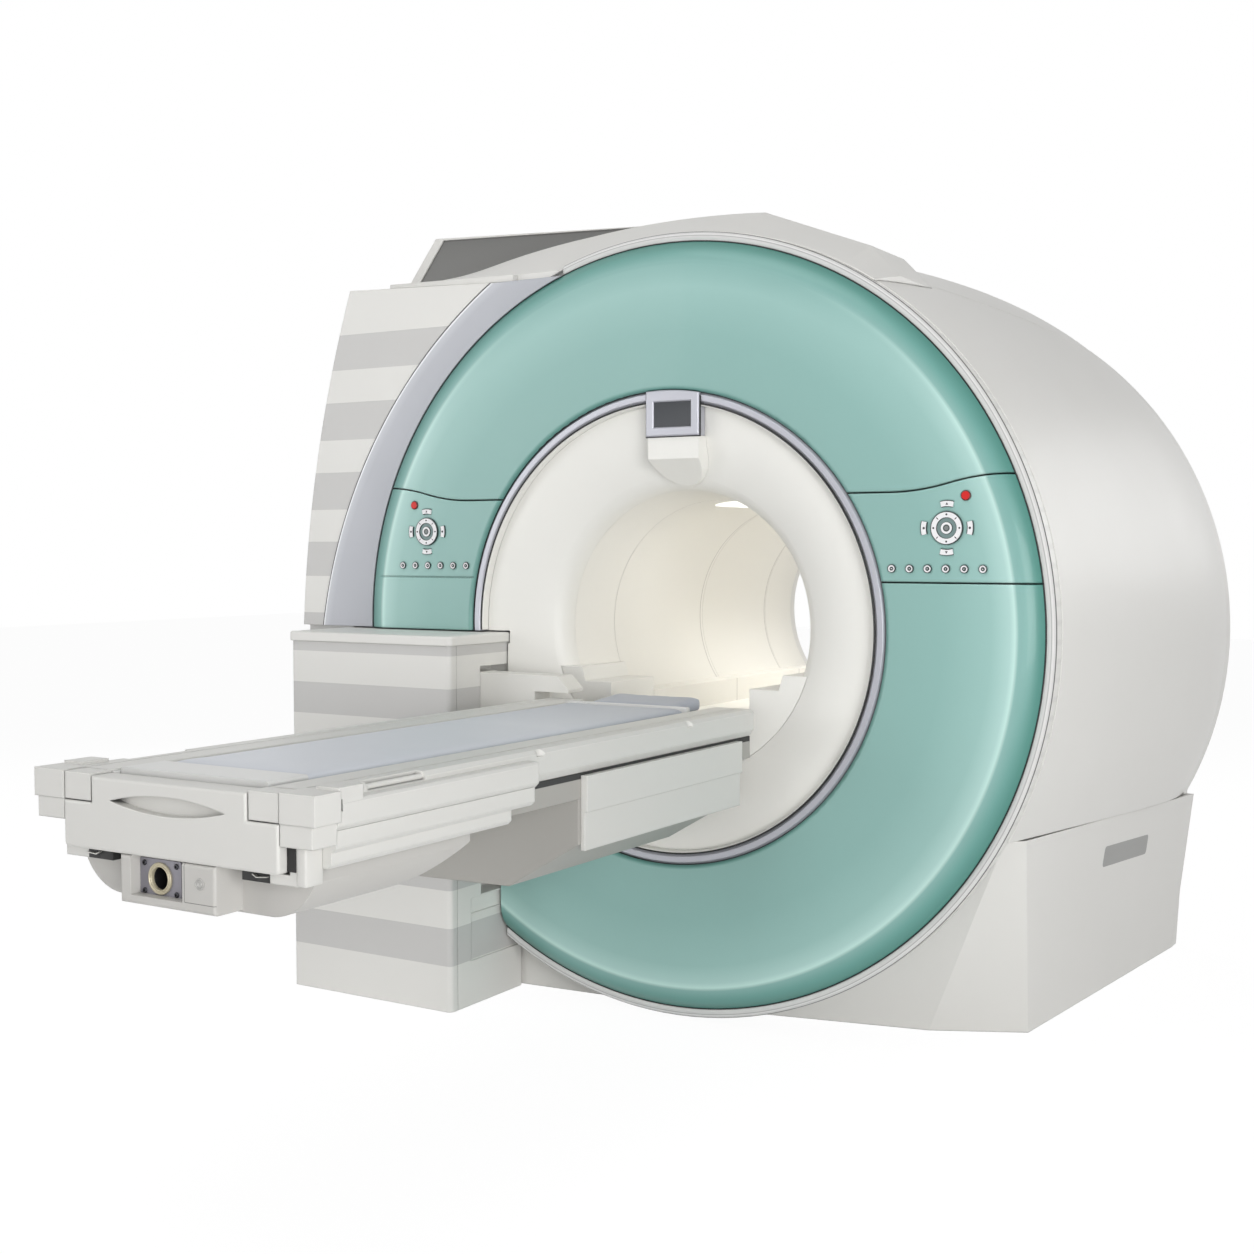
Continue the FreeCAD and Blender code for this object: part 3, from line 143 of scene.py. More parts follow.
LAMPS = (
    # name, place, aimed at, width and height of the panel, watts
    ("front_left", (-4.2, -4.2, 1.9), (0.0, 0.0, 1.1), 3.4, 2.6, 64.0),
    ("front_right", (4.6, -3.9, 1.5), (0.5, 0.3, 0.9), 2.8, 2.4, 162.0),
    ("behind_left", (-3.6, 4.6, 2.6), (-0.6, 0.8, 1.1), 2.6, 2.2, 90.0),
    ("behind_right", (3.4, 5.0, 2.6), (0.6, 1.2, 1.1), 2.6, 2.2, 40.0),
    ("above", (-0.3, -2.2, 4.6), (-0.3, -0.8, 0.8), 2.6, 2.2, 42.0),
    ("low_front", (3.0, -5.6, 0.8), (0.9, 0.0, 0.4), 3.0, 1.4, 44.0),
)
for name, place, target, wide, tall, watts in LAMPS:
    lamp = bpy.data.lights.new(name, "AREA")
    lamp.shape = "RECTANGLE"
    lamp.size, lamp.size_y, lamp.energy = wide, tall, watts
    holder = bpy.data.objects.new(name, lamp)
    holder.location = place
    holder.rotation_euler = (Vector(target) - Vector(place)).to_track_quat("-Z", "Y").to_euler()
    bpy.context.scene.collection.objects.link(holder)

# ---------------------------------------------------------------- painted covers
# The barrel, hood, skirts, rear and lid are fibreglass mouldings, sprayed in a
# satin off-white. The paint has a faint orange peel, an uneven tone and soft edges.


def paint(red, green, blue):
    """A paint's colour from its swatch values."""
    return tuple((value / 255.0 / 12.92) if value <= 10 else ((value / 255.0 + 0.055) / 1.055) ** 2.4
                 for value in (red, green, blue)) + (1.0,)


CLOUD_SIZE, SMEAR_SIZE = 2.3, 7.0
GLOSS_SWING = 0.05
PEEL_HEIGHT = 0.0004
OPEN_JOINT, SHUT_JOINT = 0.42, 0.08


def noise(tree, place, scale, detail=2.0):
    """A cloudy value over a place."""
    return fed(tree, "ShaderNodeTexNoise", Vector=place, Scale=scale, Detail=detail).outputs["Fac"]


def bumped(tree, height, strength, distance, **under):
    """The normal of a surface that a height roughens, over another Normal where one is given."""
    node = fed(tree, "ShaderNodeBump", Height=height, Strength=strength, Distance=distance, **under)
    return node.outputs["Normal"]


def vectors(tree, operation, first, second):
    """A node that works on two vectors."""
    node = tree.nodes.new("ShaderNodeVectorMath")
    node.operation = operation
    feed(tree, node.inputs[0], first)
    feed(tree, node.inputs[1], second)
    return node


def build_lacquer():
    """Sprayed lacquer: uneven tone, orange peel, wandering gloss, edges with painted highlights and painted
    shade, and painted shade in the joints.
    """
    group = bpy.data.node_groups.new("lacquer", "ShaderNodeTree")
    face = group.interface
    face.new_socket("Paint", in_out="INPUT", socket_type="NodeSocketColor")
    for name, value in (("Unevenness", 0.03), ("Gloss", 0.35), ("Peel", 0.05), ("Peel size", 260.0),
                        ("Edge", 0.003), ("Edge wear", 0.25), ("Edge shade", 0.1),
                        ("Joint dark", 0.75), ("Joint reach", 0.010)):
        face.new_socket(name, in_out="INPUT", socket_type="NodeSocketFloat").default_value = value
    face.new_socket("Colour", in_out="OUTPUT", socket_type="NodeSocketColor")
    face.new_socket("Roughness", in_out="OUTPUT", socket_type="NodeSocketFloat")
    face.new_socket("Normal", in_out="OUTPUT", socket_type="NodeSocketVector")
    given = group.nodes.new("NodeGroupInput").outputs
    result = group.nodes.new("NodeGroupOutput").inputs
    place = group.nodes.new("ShaderNodeTexCoord").outputs["Object"]

    # An edge is where the normal that is smoothed over a radius differs from the flat one.
    rounding = fed(group, "ShaderNodeBevel", Radius=given["Edge"])
    rounding.samples = 4
    smooth = rounding.outputs["Normal"]
    flat = group.nodes.new("ShaderNodeNewGeometry").outputs["Normal"]
    alike = vectors(group, "DOT_PRODUCT", smooth, flat).outputs["Value"]
    tilt = fed(group, "ShaderNodeSeparateXYZ", Vector=vectors(group, "SUBTRACT", smooth, flat).outputs[0])
    # Edges are painted lighter as a painted highlight, and the rounded normal's tilt paints them lighter on
    # top and darker underneath, as painted light from above.
    on_edge = maths(group, "SUBTRACT", 1.0, alike, clamp=True)
    edge_highlight_amount = maths(group, "MULTIPLY", on_edge, given["Edge wear"])
    shaded = maths(group, "MULTIPLY_ADD", tilt.outputs["Z"], given["Edge shade"], edge_highlight_amount)

    swing = maths(group, "SUBTRACT", noise(group, place, CLOUD_SIZE, 3.0), 0.5)
    uneven = maths(group, "MULTIPLY", swing, given["Unevenness"])
    bright = maths(group, "ADD", maths(group, "ADD", uneven, shaded), 1.0)
    # Joints and inner corners that the occlusion finds are painted darker, as painted shade.
    shut_in = fed(group, "ShaderNodeAmbientOcclusion", Distance=given["Joint reach"])
    shut_in.samples = 6
    deep = ranged(group, shut_in.outputs["AO"], OPEN_JOINT, SHUT_JOINT)
    unshaded = maths(group, "SUBTRACT", 1.0, maths(group, "MULTIPLY", deep, given["Joint dark"]))
    tone = group.nodes.new("ShaderNodeVectorMath")
    tone.operation = "SCALE"
    feed(group, tone.inputs[0], given["Paint"])
    feed(group, tone.inputs["Scale"], maths(group, "MULTIPLY", bright, unshaded))
    feed(group, result["Colour"], tone.outputs[0])

    wander = ranged(group, noise(group, place, SMEAR_SIZE, 4.0), 0.0, 1.0, -GLOSS_SWING, GLOSS_SWING)
    feed(group, result["Roughness"], maths(group, "ADD", wander, given["Gloss"]))
    peel = noise(group, place, given["Peel size"])
    feed(group, result["Normal"], bumped(group, peel, given["Peel"], PEEL_HEIGHT, Normal=smooth))
    return group


lacquer = build_lacquer()


def lacquered(name, colour, coat=0.0, metallic=0.0, **settings):
    """A sprayed or moulded finish; returns the material and its lacquer node."""
    material = bpy.data.materials.new(name)
    material.use_nodes = True
    tree = material.node_tree
    shader = tree.nodes["Principled BSDF"]
    film = tree.nodes.new("ShaderNodeGroup")
    film.node_tree = lacquer
    film.inputs["Paint"].default_value = colour
    for socket, value in settings.items():
        film.inputs[socket.capitalize().replace("_", " ")].default_value = value
    for made, taken in (("Colour", "Base Color"), ("Roughness", "Roughness"), ("Normal", "Normal")):
        tree.links.new(film.outputs[made], shader.inputs[taken])
    shader.inputs["Coat Weight"].default_value = coat
    shader.inputs["Metallic"].default_value = metallic
    return material, film


def finish_nodes(material, *names):
    """Give CAD nodes a material."""
    for name in names:
        mesh = nodes[name].data
        mesh.materials.clear()
        mesh.materials.append(material)


OFF_WHITE = paint(229, 228, 224)
cover_white = lacquered("cover_white", OFF_WHITE, gloss=0.42, edge=0.005, edge_shade=0.2)[0]
finish_nodes(cover_white, "barrel_cover_left", "barrel_cover_right", "top_cover", "hood", "skirt_right",
             "skirt_left", "rear_cover", "column_cap")

# ---------------------------------------------------------------- striped covers
# The left panel, its casing and the column carry broad level stripes, sprayed a
# shade darker over the off-white. The stripes run round the corners at one height.
STRIPE_GREY = paint(203, 202, 200)
STRIPES = (0.126, 0.227, 0.335, 0.445, 0.56, 0.665, 0.798, 0.888, 0.975, 1.075, 1.184, 1.287, 1.387, 1.499,
           1.597, 1.709, 1.81, 1.915)


def object_place(tree):
    """The place on a piece, in metres, as separate X, Y and Z."""
    place = tree.nodes.new("ShaderNodeTexCoord").outputs["Object"]
    return fed(tree, "ShaderNodeSeparateXYZ", Vector=place).outputs


def ramp_of(tree, value, stops, interpolation="LINEAR"):
    """Colours that change with a value, from the first to the last of the stops (value, colour)."""
    lowest, highest = stops[0][0], stops[-1][0]
    bands = fed(tree, "ShaderNodeValToRGB", Fac=ranged(tree, value, lowest, highest))
    ramp = bands.color_ramp
    ramp.interpolation = interpolation
    ramp.elements.remove(ramp.elements[1])
    ramp.elements[0].color = stops[0][1]
    for where, colour in stops[1:]:
        ramp.elements.new((where - lowest) / (highest - lowest)).color = colour
    return bands.outputs["Color"]


striped_white, film = lacquered("striped_white", OFF_WHITE, gloss=0.42, edge=0.004)
tree = striped_white.node_tree
stripes = [(0.0, OFF_WHITE)] + [
    (edge, OFF_WHITE if number % 2 else STRIPE_GREY) for number, edge in enumerate(STRIPES)
]
feed(tree, film.inputs["Paint"], ramp_of(tree, object_place(tree)["Z"], stripes, "CONSTANT"))
finish_nodes(striped_white, "side_panel_left", "side_case_left", "column")

# ---------------------------------------------------------------- service turret
# The fairing over the service neck is the same white moulding. Its sunk front is
# a dark grey panel, darker towards its top, left plain beside the slanted pillar.
SUNK_FROM, SUNK_TO = 0.4350, 0.4375
SUNK_TONES = [(2.0, paint(142, 142, 140)), (2.25, paint(112, 112, 110))]


def mixed(tree, share, first, second, blend="MIX"):
    """One colour that turns into a second with a share; each is a socket or a constant."""
    node = tree.nodes.new("ShaderNodeMix")
    node.data_type, node.blend_type = "RGBA", blend
    for name, value in (("Factor", share), ("A", first), ("B", second)):
        feed(tree, node.inputs[name], value)
    return node.outputs["Result"]


sunk_turret, film = lacquered("turret_sunk_front", OFF_WHITE, gloss=0.5, edge=0.004)
tree = sunk_turret.node_tree
where = object_place(tree)
sunk = maths(tree, "MULTIPLY", maths(tree, "GREATER_THAN", where["Y"], SUNK_FROM),
             maths(tree, "LESS_THAN", where["Y"], SUNK_TO))
feed(tree, film.inputs["Paint"], mixed(tree, sunk, OFF_WHITE, ramp_of(tree, where["Z"], SUNK_TONES)))
finish_nodes(sunk_turret, "service_turret")

# ---------------------------------------------------------------- teal ring
# The ring's front is four moulded stretches in a soft teal. Towards the rim it is
# painted paler as a painted reflection, up to a painted highlight line near the rim
# which fades out at the top; beyond it the rolled rim, and the inner edge, are painted
# darker as painted shade.
AXIS_HEIGHT = 1.06
RING_TONES = [
    (0.630, paint(82, 134, 125)), (0.637, paint(112, 160, 152)), (0.643, paint(138, 178, 172)),
    (0.78, paint(140, 181, 175)), (0.90, paint(153, 193, 187)), (0.945, paint(174, 211, 205)),
    (0.957, paint(196, 229, 222)), (0.966, paint(134, 178, 172)), (0.99, paint(104, 159, 151)),
    (1.012, paint(80, 140, 130)),
]


def off_axis(tree, centre=(0.0, 0.0, AXIS_HEIGHT)):
    """Distance from a line along Y through a centre, in metres."""
    place = tree.nodes.new("ShaderNodeTexCoord").outputs["Object"]
    centred = fed(tree, "ShaderNodeMapping", Vector=place, Location=(-centre[0], 0.0, -centre[2]),
                  Scale=(1.0, 0.0, 1.0))
    outwards = tree.nodes.new("ShaderNodeVectorMath")
    outwards.operation = "LENGTH"
    feed(tree, outwards.inputs[0], centred.outputs["Vector"])
    return outwards.outputs["Value"]


ring_teal, film = lacquered("ring_teal", RING_TONES[3][1], gloss=0.4, unevenness=0.06, coat=0.12,
                                    edge=0.006, edge_wear=0.2, edge_shade=0.6,
                                    joint_dark=0.95, joint_reach=0.014)
tree = ring_teal.node_tree
# The same tones without the painted highlight line, for the top of the ring.
UNHIGHLIT_TONES = [stop for stop in RING_TONES if not 0.9 < stop[0] < 0.96]
HIGHLIGHT_FADE_FROM, HIGHLIGHT_FADE_TO = AXIS_HEIGHT + 0.50, AXIS_HEIGHT + 0.88
highlight_fading = ranged(tree, object_place(tree)["Z"], HIGHLIGHT_FADE_FROM, HIGHLIGHT_FADE_TO)
feed(tree, film.inputs["Paint"], mixed(tree, highlight_fading, ramp_of(tree, off_axis(tree), RING_TONES),
                                       ramp_of(tree, off_axis(tree), UNHIGHLIT_TONES)))
finish_nodes(ring_teal, "ring_cover_upper", "ring_cover_lower", "control_panel_right", "control_panel_left")

# ---------------------------------------------------------------- silver trims
# The inner ring, the crescent on the left and the display's frame are sprayed in a
# fine silver. The outer band is an extruded white profile with two shallow ribs.
SILVER = paint(180, 181, 189)
silver_trim = lacquered("silver_trim", SILVER, gloss=0.34, unevenness=0.05, peel=0.12, peel_size=900.0,
                        metallic=0.3, edge=0.003, edge_wear=0.8)[0]
finish_nodes(silver_trim, "inner_trim", "display_bezel")
crescent_silver, film = lacquered("crescent_silver", SILVER, gloss=0.5, unevenness=0.05, peel=0.12,
                                          peel_size=900.0, metallic=0.15, edge=0.003, edge_wear=0.6)
tree = crescent_silver.node_tree
# The crescent is painted paler towards its outer edge as painted light, with a painted highlight line along
# that edge and a black line at the very edge as painted shade in the joint.
CRESCENT_CENTRE = (0.2003, 0.0, 0.8211)
CRESCENT_TONES = [
    (1.200, paint(166, 168, 174)), (1.400, paint(182, 184, 190)), (1.4240, paint(196, 198, 203)),
    (1.4275, paint(236, 237, 240)), (1.4300, paint(236, 237, 240)), (1.4308, paint(52, 52, 54)),
]
feed(tree, film.inputs["Paint"], ramp_of(tree, off_axis(tree, CRESCENT_CENTRE), CRESCENT_TONES))
finish_nodes(crescent_silver, "band_left")

# The band's dark lines at its edges and ribs are painted shade; its palest lines are painted highlights.
PROFILE_TONES = [
    (1.0190, paint(120, 120, 120)), (1.0225, paint(218, 217, 215)), (1.0335, paint(212, 211, 210)),
    (1.0342, paint(180, 179, 178)), (1.0358, paint(180, 179, 178)), (1.0366, paint(228, 227, 226)),
    (1.0435, paint(216, 215, 214)), (1.0440, paint(96, 95, 95)), (1.0454, paint(96, 95, 95)),
    (1.0458, OFF_WHITE),
]
outer_profile, film = lacquered("outer_profile", SILVER, gloss=0.36, unevenness=0.03, edge=0.002)
tree = outer_profile.node_tree
feed(tree, film.inputs["Paint"], ramp_of(tree, off_axis(tree), PROFILE_TONES))
finish_nodes(outer_profile, "outer_trim")

# ---------------------------------------------------------------- shade beads
# Thin black beads lie in the joints as painted shade: between the funnel's lip and the
# silver ring, between the silver ring and the teal, and between the teal and the
# outer band. They stop where the column stands and where the display is set in.
joint_shade_black = lacquered("joint_shade_black", paint(34, 35, 36), gloss=0.55, unevenness=0.2, peel=0.2,
                       peel_size=1200.0, edge=0.0006)[0]
AXIS = Vector((0.0, 0.0, AXIS_HEIGHT))
SMOOTH_BELOW = math.radians(38.0)


def make_piece(name, shape, material, body):
    """Turn a bmesh into a finished piece that rides on a body."""
    bmesh.ops.remove_doubles(shape, verts=shape.verts, dist=1e-6)
    bmesh.ops.recalc_face_normals(shape, faces=shape.faces)
    mesh = bpy.data.meshes.new(name)
    shape.to_mesh(mesh)
    shape.free()
    mesh.shade_smooth()
    mesh.set_sharp_from_angle(angle=SMOOTH_BELOW)
    mesh.materials.append(material)
    piece = bpy.data.objects.new(name, mesh)
    bpy.context.scene.collection.objects.link(piece)
    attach(piece, body)
    return piece


def bead(shape, radius, along, thick, start, end):
    """A round bead bent round the bore's axis, from a start angle to an end angle in degrees."""
    ring = bmesh.ops.create_circle(shape, cap_ends=True, segments=10, radius=thick)
    corners = ring["verts"]
    place = Matrix.Translation((radius, along, AXIS_HEIGHT))
    bmesh.ops.transform(shape, matrix=place, verts=corners)
    aim = Matrix.Rotation(math.radians(-start), 3, "Y")
    bmesh.ops.rotate(shape, cent=AXIS, matrix=aim, verts=corners)
    faces = list({face for corner in corners for face in corner.link_faces})
    steps = max(3, int((end - start) / 1.5))
    bmesh.ops.spin(shape, geom=corners + list({e for c in corners for e in c.link_edges}) + faces, cent=AXIS,
                   axis=(0.0, -1.0, 0.0), angle=math.radians(end - start), steps=steps, use_duplicate=False)


LIP_RADIUS = 0.6000
TRIM_FRONT = -0.028
PAST_COLUMN, BEFORE_DISPLAY, PAST_DISPLAY, TO_COLUMN = -153.3, 79.2, 95.0, 181.8
shade_beads = bmesh.new()
bead(shade_beads, LIP_RADIUS + 0.0006, TRIM_FRONT + 0.0006, 0.0021, PAST_COLUMN, BEFORE_DISPLAY)
bead(shade_beads, LIP_RADIUS + 0.0006, TRIM_FRONT + 0.0006, 0.0021, PAST_DISPLAY, TO_COLUMN)
bead(shade_beads, 0.6322, -0.0232, 0.0025, -148.0, TO_COLUMN)
bead(shade_beads, 1.0206, -0.0006, 0.0018, -121.6, 181.0)
make_piece("ring_shade_beads", shade_beads, joint_shade_black, "magnet")

# ---------------------------------------------------------------- funnel and bore
# The funnel, the trough that the table docks in and the display's pod are one
# cream moulding; the bore's liner and deck are a warmer, smoother cream.
funnel_cream = lacquered("funnel_cream", paint(238, 237, 232), gloss=0.42, edge=0.004)[0]
finish_nodes(funnel_cream, "bore_funnel", "docking_trough", "display_pod")

# The funnel ends in a soft rolled lip, which lines the silver ring up to its front.
LIP_PROFILE = ((0.0, -0.001), (0.0, -0.0245), (-0.0014, -0.0266), (-0.0032, -0.0268), (-0.0048, -0.0252),
               (-0.0054, -0.001))
lip = bmesh.new()
for start, end in ((PAST_COLUMN, BEFORE_DISPLAY), (PAST_DISPLAY, TO_COLUMN)):
    corners = [lip.verts.new((LIP_RADIUS + out_by, along, AXIS_HEIGHT)) for out_by, along in LIP_PROFILE]
    section = lip.faces.new(corners)
    bmesh.ops.rotate(lip, cent=AXIS, matrix=Matrix.Rotation(math.radians(-start), 3, "Y"), verts=corners)
    bmesh.ops.spin(lip, geom=corners + list(section.edges) + [section], cent=AXIS, axis=(0.0, -1.0, 0.0),
                   angle=math.radians(end - start), steps=int((end - start) / 1.5), use_duplicate=False)
make_piece("funnel_lip", lip, funnel_cream, "magnet")


def near(tree, value, target, reach):
    """1 where a value lies within reach of a target, and 0 elsewhere."""
    return maths(tree, "COMPARE", value, target, reach)


LINER_CREAM = paint(240, 238, 232)
LINER_SEAMS, LINER_SEAM_HALF = (0.2905, 0.8150, 1.2770), 0.0011
bore_cream, film = lacquered("bore_cream", LINER_CREAM, gloss=0.45, edge=0.002)
tree = bore_cream.node_tree
seams = 0.0
for seam in LINER_SEAMS:
    seams = maths(tree, "MAXIMUM", seams, near(tree, object_place(tree)["Y"], seam, LINER_SEAM_HALF))
feed(tree, film.inputs["Paint"], mixed(tree, seams, LINER_CREAM, paint(158, 155, 148)))
finish_nodes(bore_cream, "bore_liner", "bore_deck")

# ---------------------------------------------------------------- bore lamp
# A curved opal diffuser is clipped under the crown of the bore, with a lamp strip
# behind it. Two soft lamps in the bore give the light that it would.
LAMP_START, LAMP_END = 0.41, 0.64
LAMP_HALF_ANGLE = 13.0
LAMP_FACE, LAMP_BACK = 0.3445, 0.3499
opal = bpy.data.materials.new("opal_diffuser")
opal.use_nodes = True
tree = opal.node_tree
shader = tree.nodes["Principled BSDF"]
shader.inputs["Base Color"].default_value = (0.95, 0.94, 0.9, 1.0)
shader.inputs["Roughness"].default_value = 0.35
shader.inputs["Emission Strength"].default_value = 1.0
cloudy = noise(tree, tree.nodes.new("ShaderNodeTexCoord").outputs["Object"], 14.0)
OPAL_TONES = [(0.0, (0.88, 0.87, 0.82, 1.0)), (1.0, (1.0, 0.99, 0.95, 1.0))]
feed(tree, shader.inputs["Emission Color"], ramp_of(tree, cloudy, OPAL_TONES))


def round_edges(shape, edges, radius, segments=2):
    """Round some edges of a shape."""
    bmesh.ops.bevel(shape, geom=edges, offset=radius, segments=segments, profile=0.5, affect="EDGES",
                    material=-1)


lens = bmesh.new()
bmesh.ops.create_grid(lens, x_segments=1, y_segments=1, size=0.5)
stretch = Matrix.Diagonal((LAMP_BACK - LAMP_FACE, LAMP_END - LAMP_START, 1.0, 1.0))
middle = Matrix.Translation(((LAMP_FACE + LAMP_BACK) / 2, (LAMP_START + LAMP_END) / 2, AXIS_HEIGHT))
bmesh.ops.transform(lens, matrix=middle @ stretch, verts=lens.verts)
bmesh.ops.rotate(lens, cent=AXIS, matrix=Matrix.Rotation(math.radians(LAMP_HALF_ANGLE - 90.0), 3, "Y"),
                 verts=lens.verts)
bmesh.ops.spin(lens, geom=lens.verts[:] + lens.edges[:] + lens.faces[:], cent=AXIS, axis=(0.0, -1.0, 0.0),
               angle=math.radians(2 * LAMP_HALF_ANGLE), steps=14)
bmesh.ops.remove_doubles(lens, verts=lens.verts, dist=1e-6)
round_edges(lens, [edge for edge in lens.edges if edge.calc_face_angle(0.0) > 1.0], 0.0018)
make_piece("bore_lamp", lens, opal, "magnet")

for name, along in (("bore_light_front", 0.85), ("bore_light_back", 1.30)):
    lamp = bpy.data.lights.new(name, "AREA")
    lamp.shape = "RECTANGLE"
    lamp.size, lamp.size_y, lamp.energy = 0.3, 0.5, 0.95
    lamp.color = (1.0, 0.99, 0.965)
    lamp.spread = math.radians(100.0)
    holder = bpy.data.objects.new(name, lamp)
    holder.location = (0.0, along, 1.34)
    holder.visible_camera = False
    bpy.context.scene.collection.objects.link(holder)

# ---------------------------------------------------------------- display
# A small status screen sits behind a dark pane, sunk in its silver frame. The frame
# is set in the ring's notch, with flat black strips on three sides as painted shade in
# the gap. The screen is off.
screen_glass = bpy.data.materials.new("screen_glass")
screen_glass.use_nodes = True
tree = screen_glass.node_tree
shader = tree.nodes["Principled BSDF"]
shader.inputs["Roughness"].default_value = 0.5
shader.inputs["Specular IOR Level"].default_value = 0.25
PANE_TONES = [(1.595, paint(80, 82, 85)), (1.66, paint(72, 74, 78))]
feed(tree, shader.inputs["Base Color"], ramp_of(tree, object_place(tree)["Z"], PANE_TONES))
speckle = noise(tree, tree.nodes.new("ShaderNodeTexCoord").outputs["Object"], 3500.0)
feed(tree, shader.inputs["Normal"], bumped(tree, speckle, 0.08, 0.0002))


def slab(shape, low, high):
    """A plain block between two corners, added to a shape."""
    block = bmesh.ops.create_cube(shape, size=1.0)["verts"]
    low, high = Vector(low), Vector(high)
    stretched = Matrix.Translation((low + high) / 2) @ Matrix.Diagonal((*(high - low), 1.0))
    bmesh.ops.transform(shape, matrix=stretched, verts=block)


frame_low, frame_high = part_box("display_bezel")
PANE_FLOOR = -0.032
PANE_INSET = 0.0243
pane = bmesh.new()
pane_low = Vector((frame_low.x + PANE_INSET, PANE_FLOOR - 0.0022, frame_low.z + PANE_INSET))
pane_high = Vector((frame_high.x - PANE_INSET, PANE_FLOOR, frame_low.z + 0.122 - PANE_INSET - 0.0077))
slab(pane, pane_low, pane_high)
front = [face for face in pane.faces if face.normal.y < -0.9]
bmesh.ops.inset_region(pane, faces=front, thickness=0.0022, depth=-0.0007)
round_edges(pane, [edge for edge in pane.edges if edge.calc_face_angle(0.0) > 1.0], 0.0005)
make_piece("display_screen", pane, screen_glass, "magnet")

SHADE_STRIP_WIDE, SHADE_STRIP_OUT, SHADE_STRIP_IN = 0.0028, -0.0315, -0.0275
SHADE_STRIP_LEFT, SHADE_STRIP_RIGHT, SHADE_STRIP_LOW = frame_low.x - SHADE_STRIP_WIDE, frame_high.x + SHADE_STRIP_WIDE, frame_low.z - SHADE_STRIP_WIDE
shade_strips = bmesh.new()
for low, high in (
    ((SHADE_STRIP_LEFT, SHADE_STRIP_OUT, SHADE_STRIP_LOW), (frame_low.x, SHADE_STRIP_IN, frame_high.z - 0.008)),
    ((frame_high.x, SHADE_STRIP_OUT, SHADE_STRIP_LOW), (SHADE_STRIP_RIGHT, SHADE_STRIP_IN, frame_high.z - 0.018)),
    ((SHADE_STRIP_LEFT, SHADE_STRIP_OUT, SHADE_STRIP_LOW), (SHADE_STRIP_RIGHT, SHADE_STRIP_IN, frame_low.z)),
):
    slab(shade_strips, low, high)
round_edges(shade_strips, shade_strips.edges[:], 0.0008)
make_piece("display_shade_strip", shade_strips, joint_shade_black, "magnet")

# ---------------------------------------------------------------- hood seal
# A pale rubber lip in front of the casing closes the wedge-shaped slit between the
# hood and the sloping top of the left panel, up to the top of the crescent.
hood_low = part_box("hood")[0]
panel_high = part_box("side_panel_left")[1]
crescent_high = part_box("band_left")[1]
SEAL_START, SEAL_END = hood_low.x + 0.002, -0.505
SEAL_CORNERS = (
    # across, and how far above the crescent's top
    (SEAL_START, 0.0166), (panel_high.x, 0.0026), (SEAL_END, 0.0007), (SEAL_END, 0.0194),
    (SEAL_START, 0.0280),
)
SEAL_FRONT, SEAL_BACK = -0.0015, 0.0238
seal_pale = lacquered("seal_pale", paint(224, 223, 219), gloss=0.6, unevenness=0.1, peel=0.2,
                      peel_size=1200.0, edge=0.0006, joint_dark=0.2)[0]


def drawn_out(shape, faces, step):
    """Draw faces out into a solid by a step; returns the corners that moved."""
    drawn = bmesh.ops.extrude_face_region(shape, geom=faces)["geom"]
    moved = [item for item in drawn if isinstance(item, bmesh.types.BMVert)]
    bmesh.ops.translate(shape, vec=step, verts=moved)
    return moved


wedge = bmesh.new()
outline = wedge.faces.new([wedge.verts.new((across, SEAL_BACK, crescent_high.z + above))
                           for across, above in SEAL_CORNERS])
drawn_out(wedge, [outline], (0.0, SEAL_FRONT - SEAL_BACK, 0.0))
round_edges(wedge, wedge.edges[:], 0.001)
make_piece("hood_seal", wedge, seal_pale, "magnet")

# ---------------------------------------------------------------- magnet vessel and floor plate
# The magnet itself is a bare steel vessel, which stands on a rolled steel plate.
# Both are seen only through gaps in the covers.
vessel_steel = lacquered("vessel_steel", paint(176, 178, 180), gloss=0.5, unevenness=0.1, peel=0.2,
                         peel_size=60.0, metallic=0.6)[0]
finish_nodes(vessel_steel, "magnet_vessel")
plate_steel = lacquered("plate_steel", paint(150, 150, 148), gloss=0.55, unevenness=0.15, peel=0.3,
                        peel_size=90.0, metallic=0.5)[0]
finish_nodes(plate_steel, "floor_plate")

# ---------------------------------------------------------------- table housings
# Rails, end cover, side covers, arm and drive box are injection mouldings and
# sprayed castings in one light grey, with a finer grain than the large covers. The
# arm's guard beside the bore is paler. The beam inside is grey like the arm; along
# its top and at its foot it is painted black, as painted shade in the gaps round it.
table_white = lacquered("table_white", paint(217, 216, 212), gloss=0.46, peel=0.1, peel_size=700.0,
                        edge=0.004, edge_wear=0.6, edge_shade=0.3, joint_dark=0.9,
                        joint_reach=0.014)[0]
finish_nodes(table_white, "side_rail_right", "side_rail_left", "end_cover", "arm_cover")
ARM_PAINT, GUARD_FROM = paint(171, 169, 164), 0.80
arm_grey, film = lacquered("arm_grey", ARM_PAINT, gloss=0.5, peel=0.1, peel_size=700.0, edge=0.004,
                                   edge_wear=0.5)
tree = arm_grey.node_tree
arm_tones = [(0.0, ARM_PAINT), (GUARD_FROM, paint(228, 227, 222))]
feed(tree, film.inputs["Paint"], ramp_of(tree, object_place(tree)["Z"], arm_tones, "CONSTANT"))
finish_nodes(arm_grey, "lift_arm")
BEAM_SHADE_BLACK, SHADE_BLACK_FROM, FOOT_FROM = paint(48, 48, 48), 0.787, 1.50
beam_grey, film = lacquered("beam_grey", ARM_PAINT, gloss=0.6, unevenness=0.1, peel=0.3,
                            peel_size=300.0)
tree = beam_grey.node_tree
where = object_place(tree)
backwards = maths(tree, "MULTIPLY", where["Y"], -1.0)
by_height = ramp_of(tree, where["Z"], [(0.0, ARM_PAINT), (SHADE_BLACK_FROM, BEAM_SHADE_BLACK)], "CONSTANT")
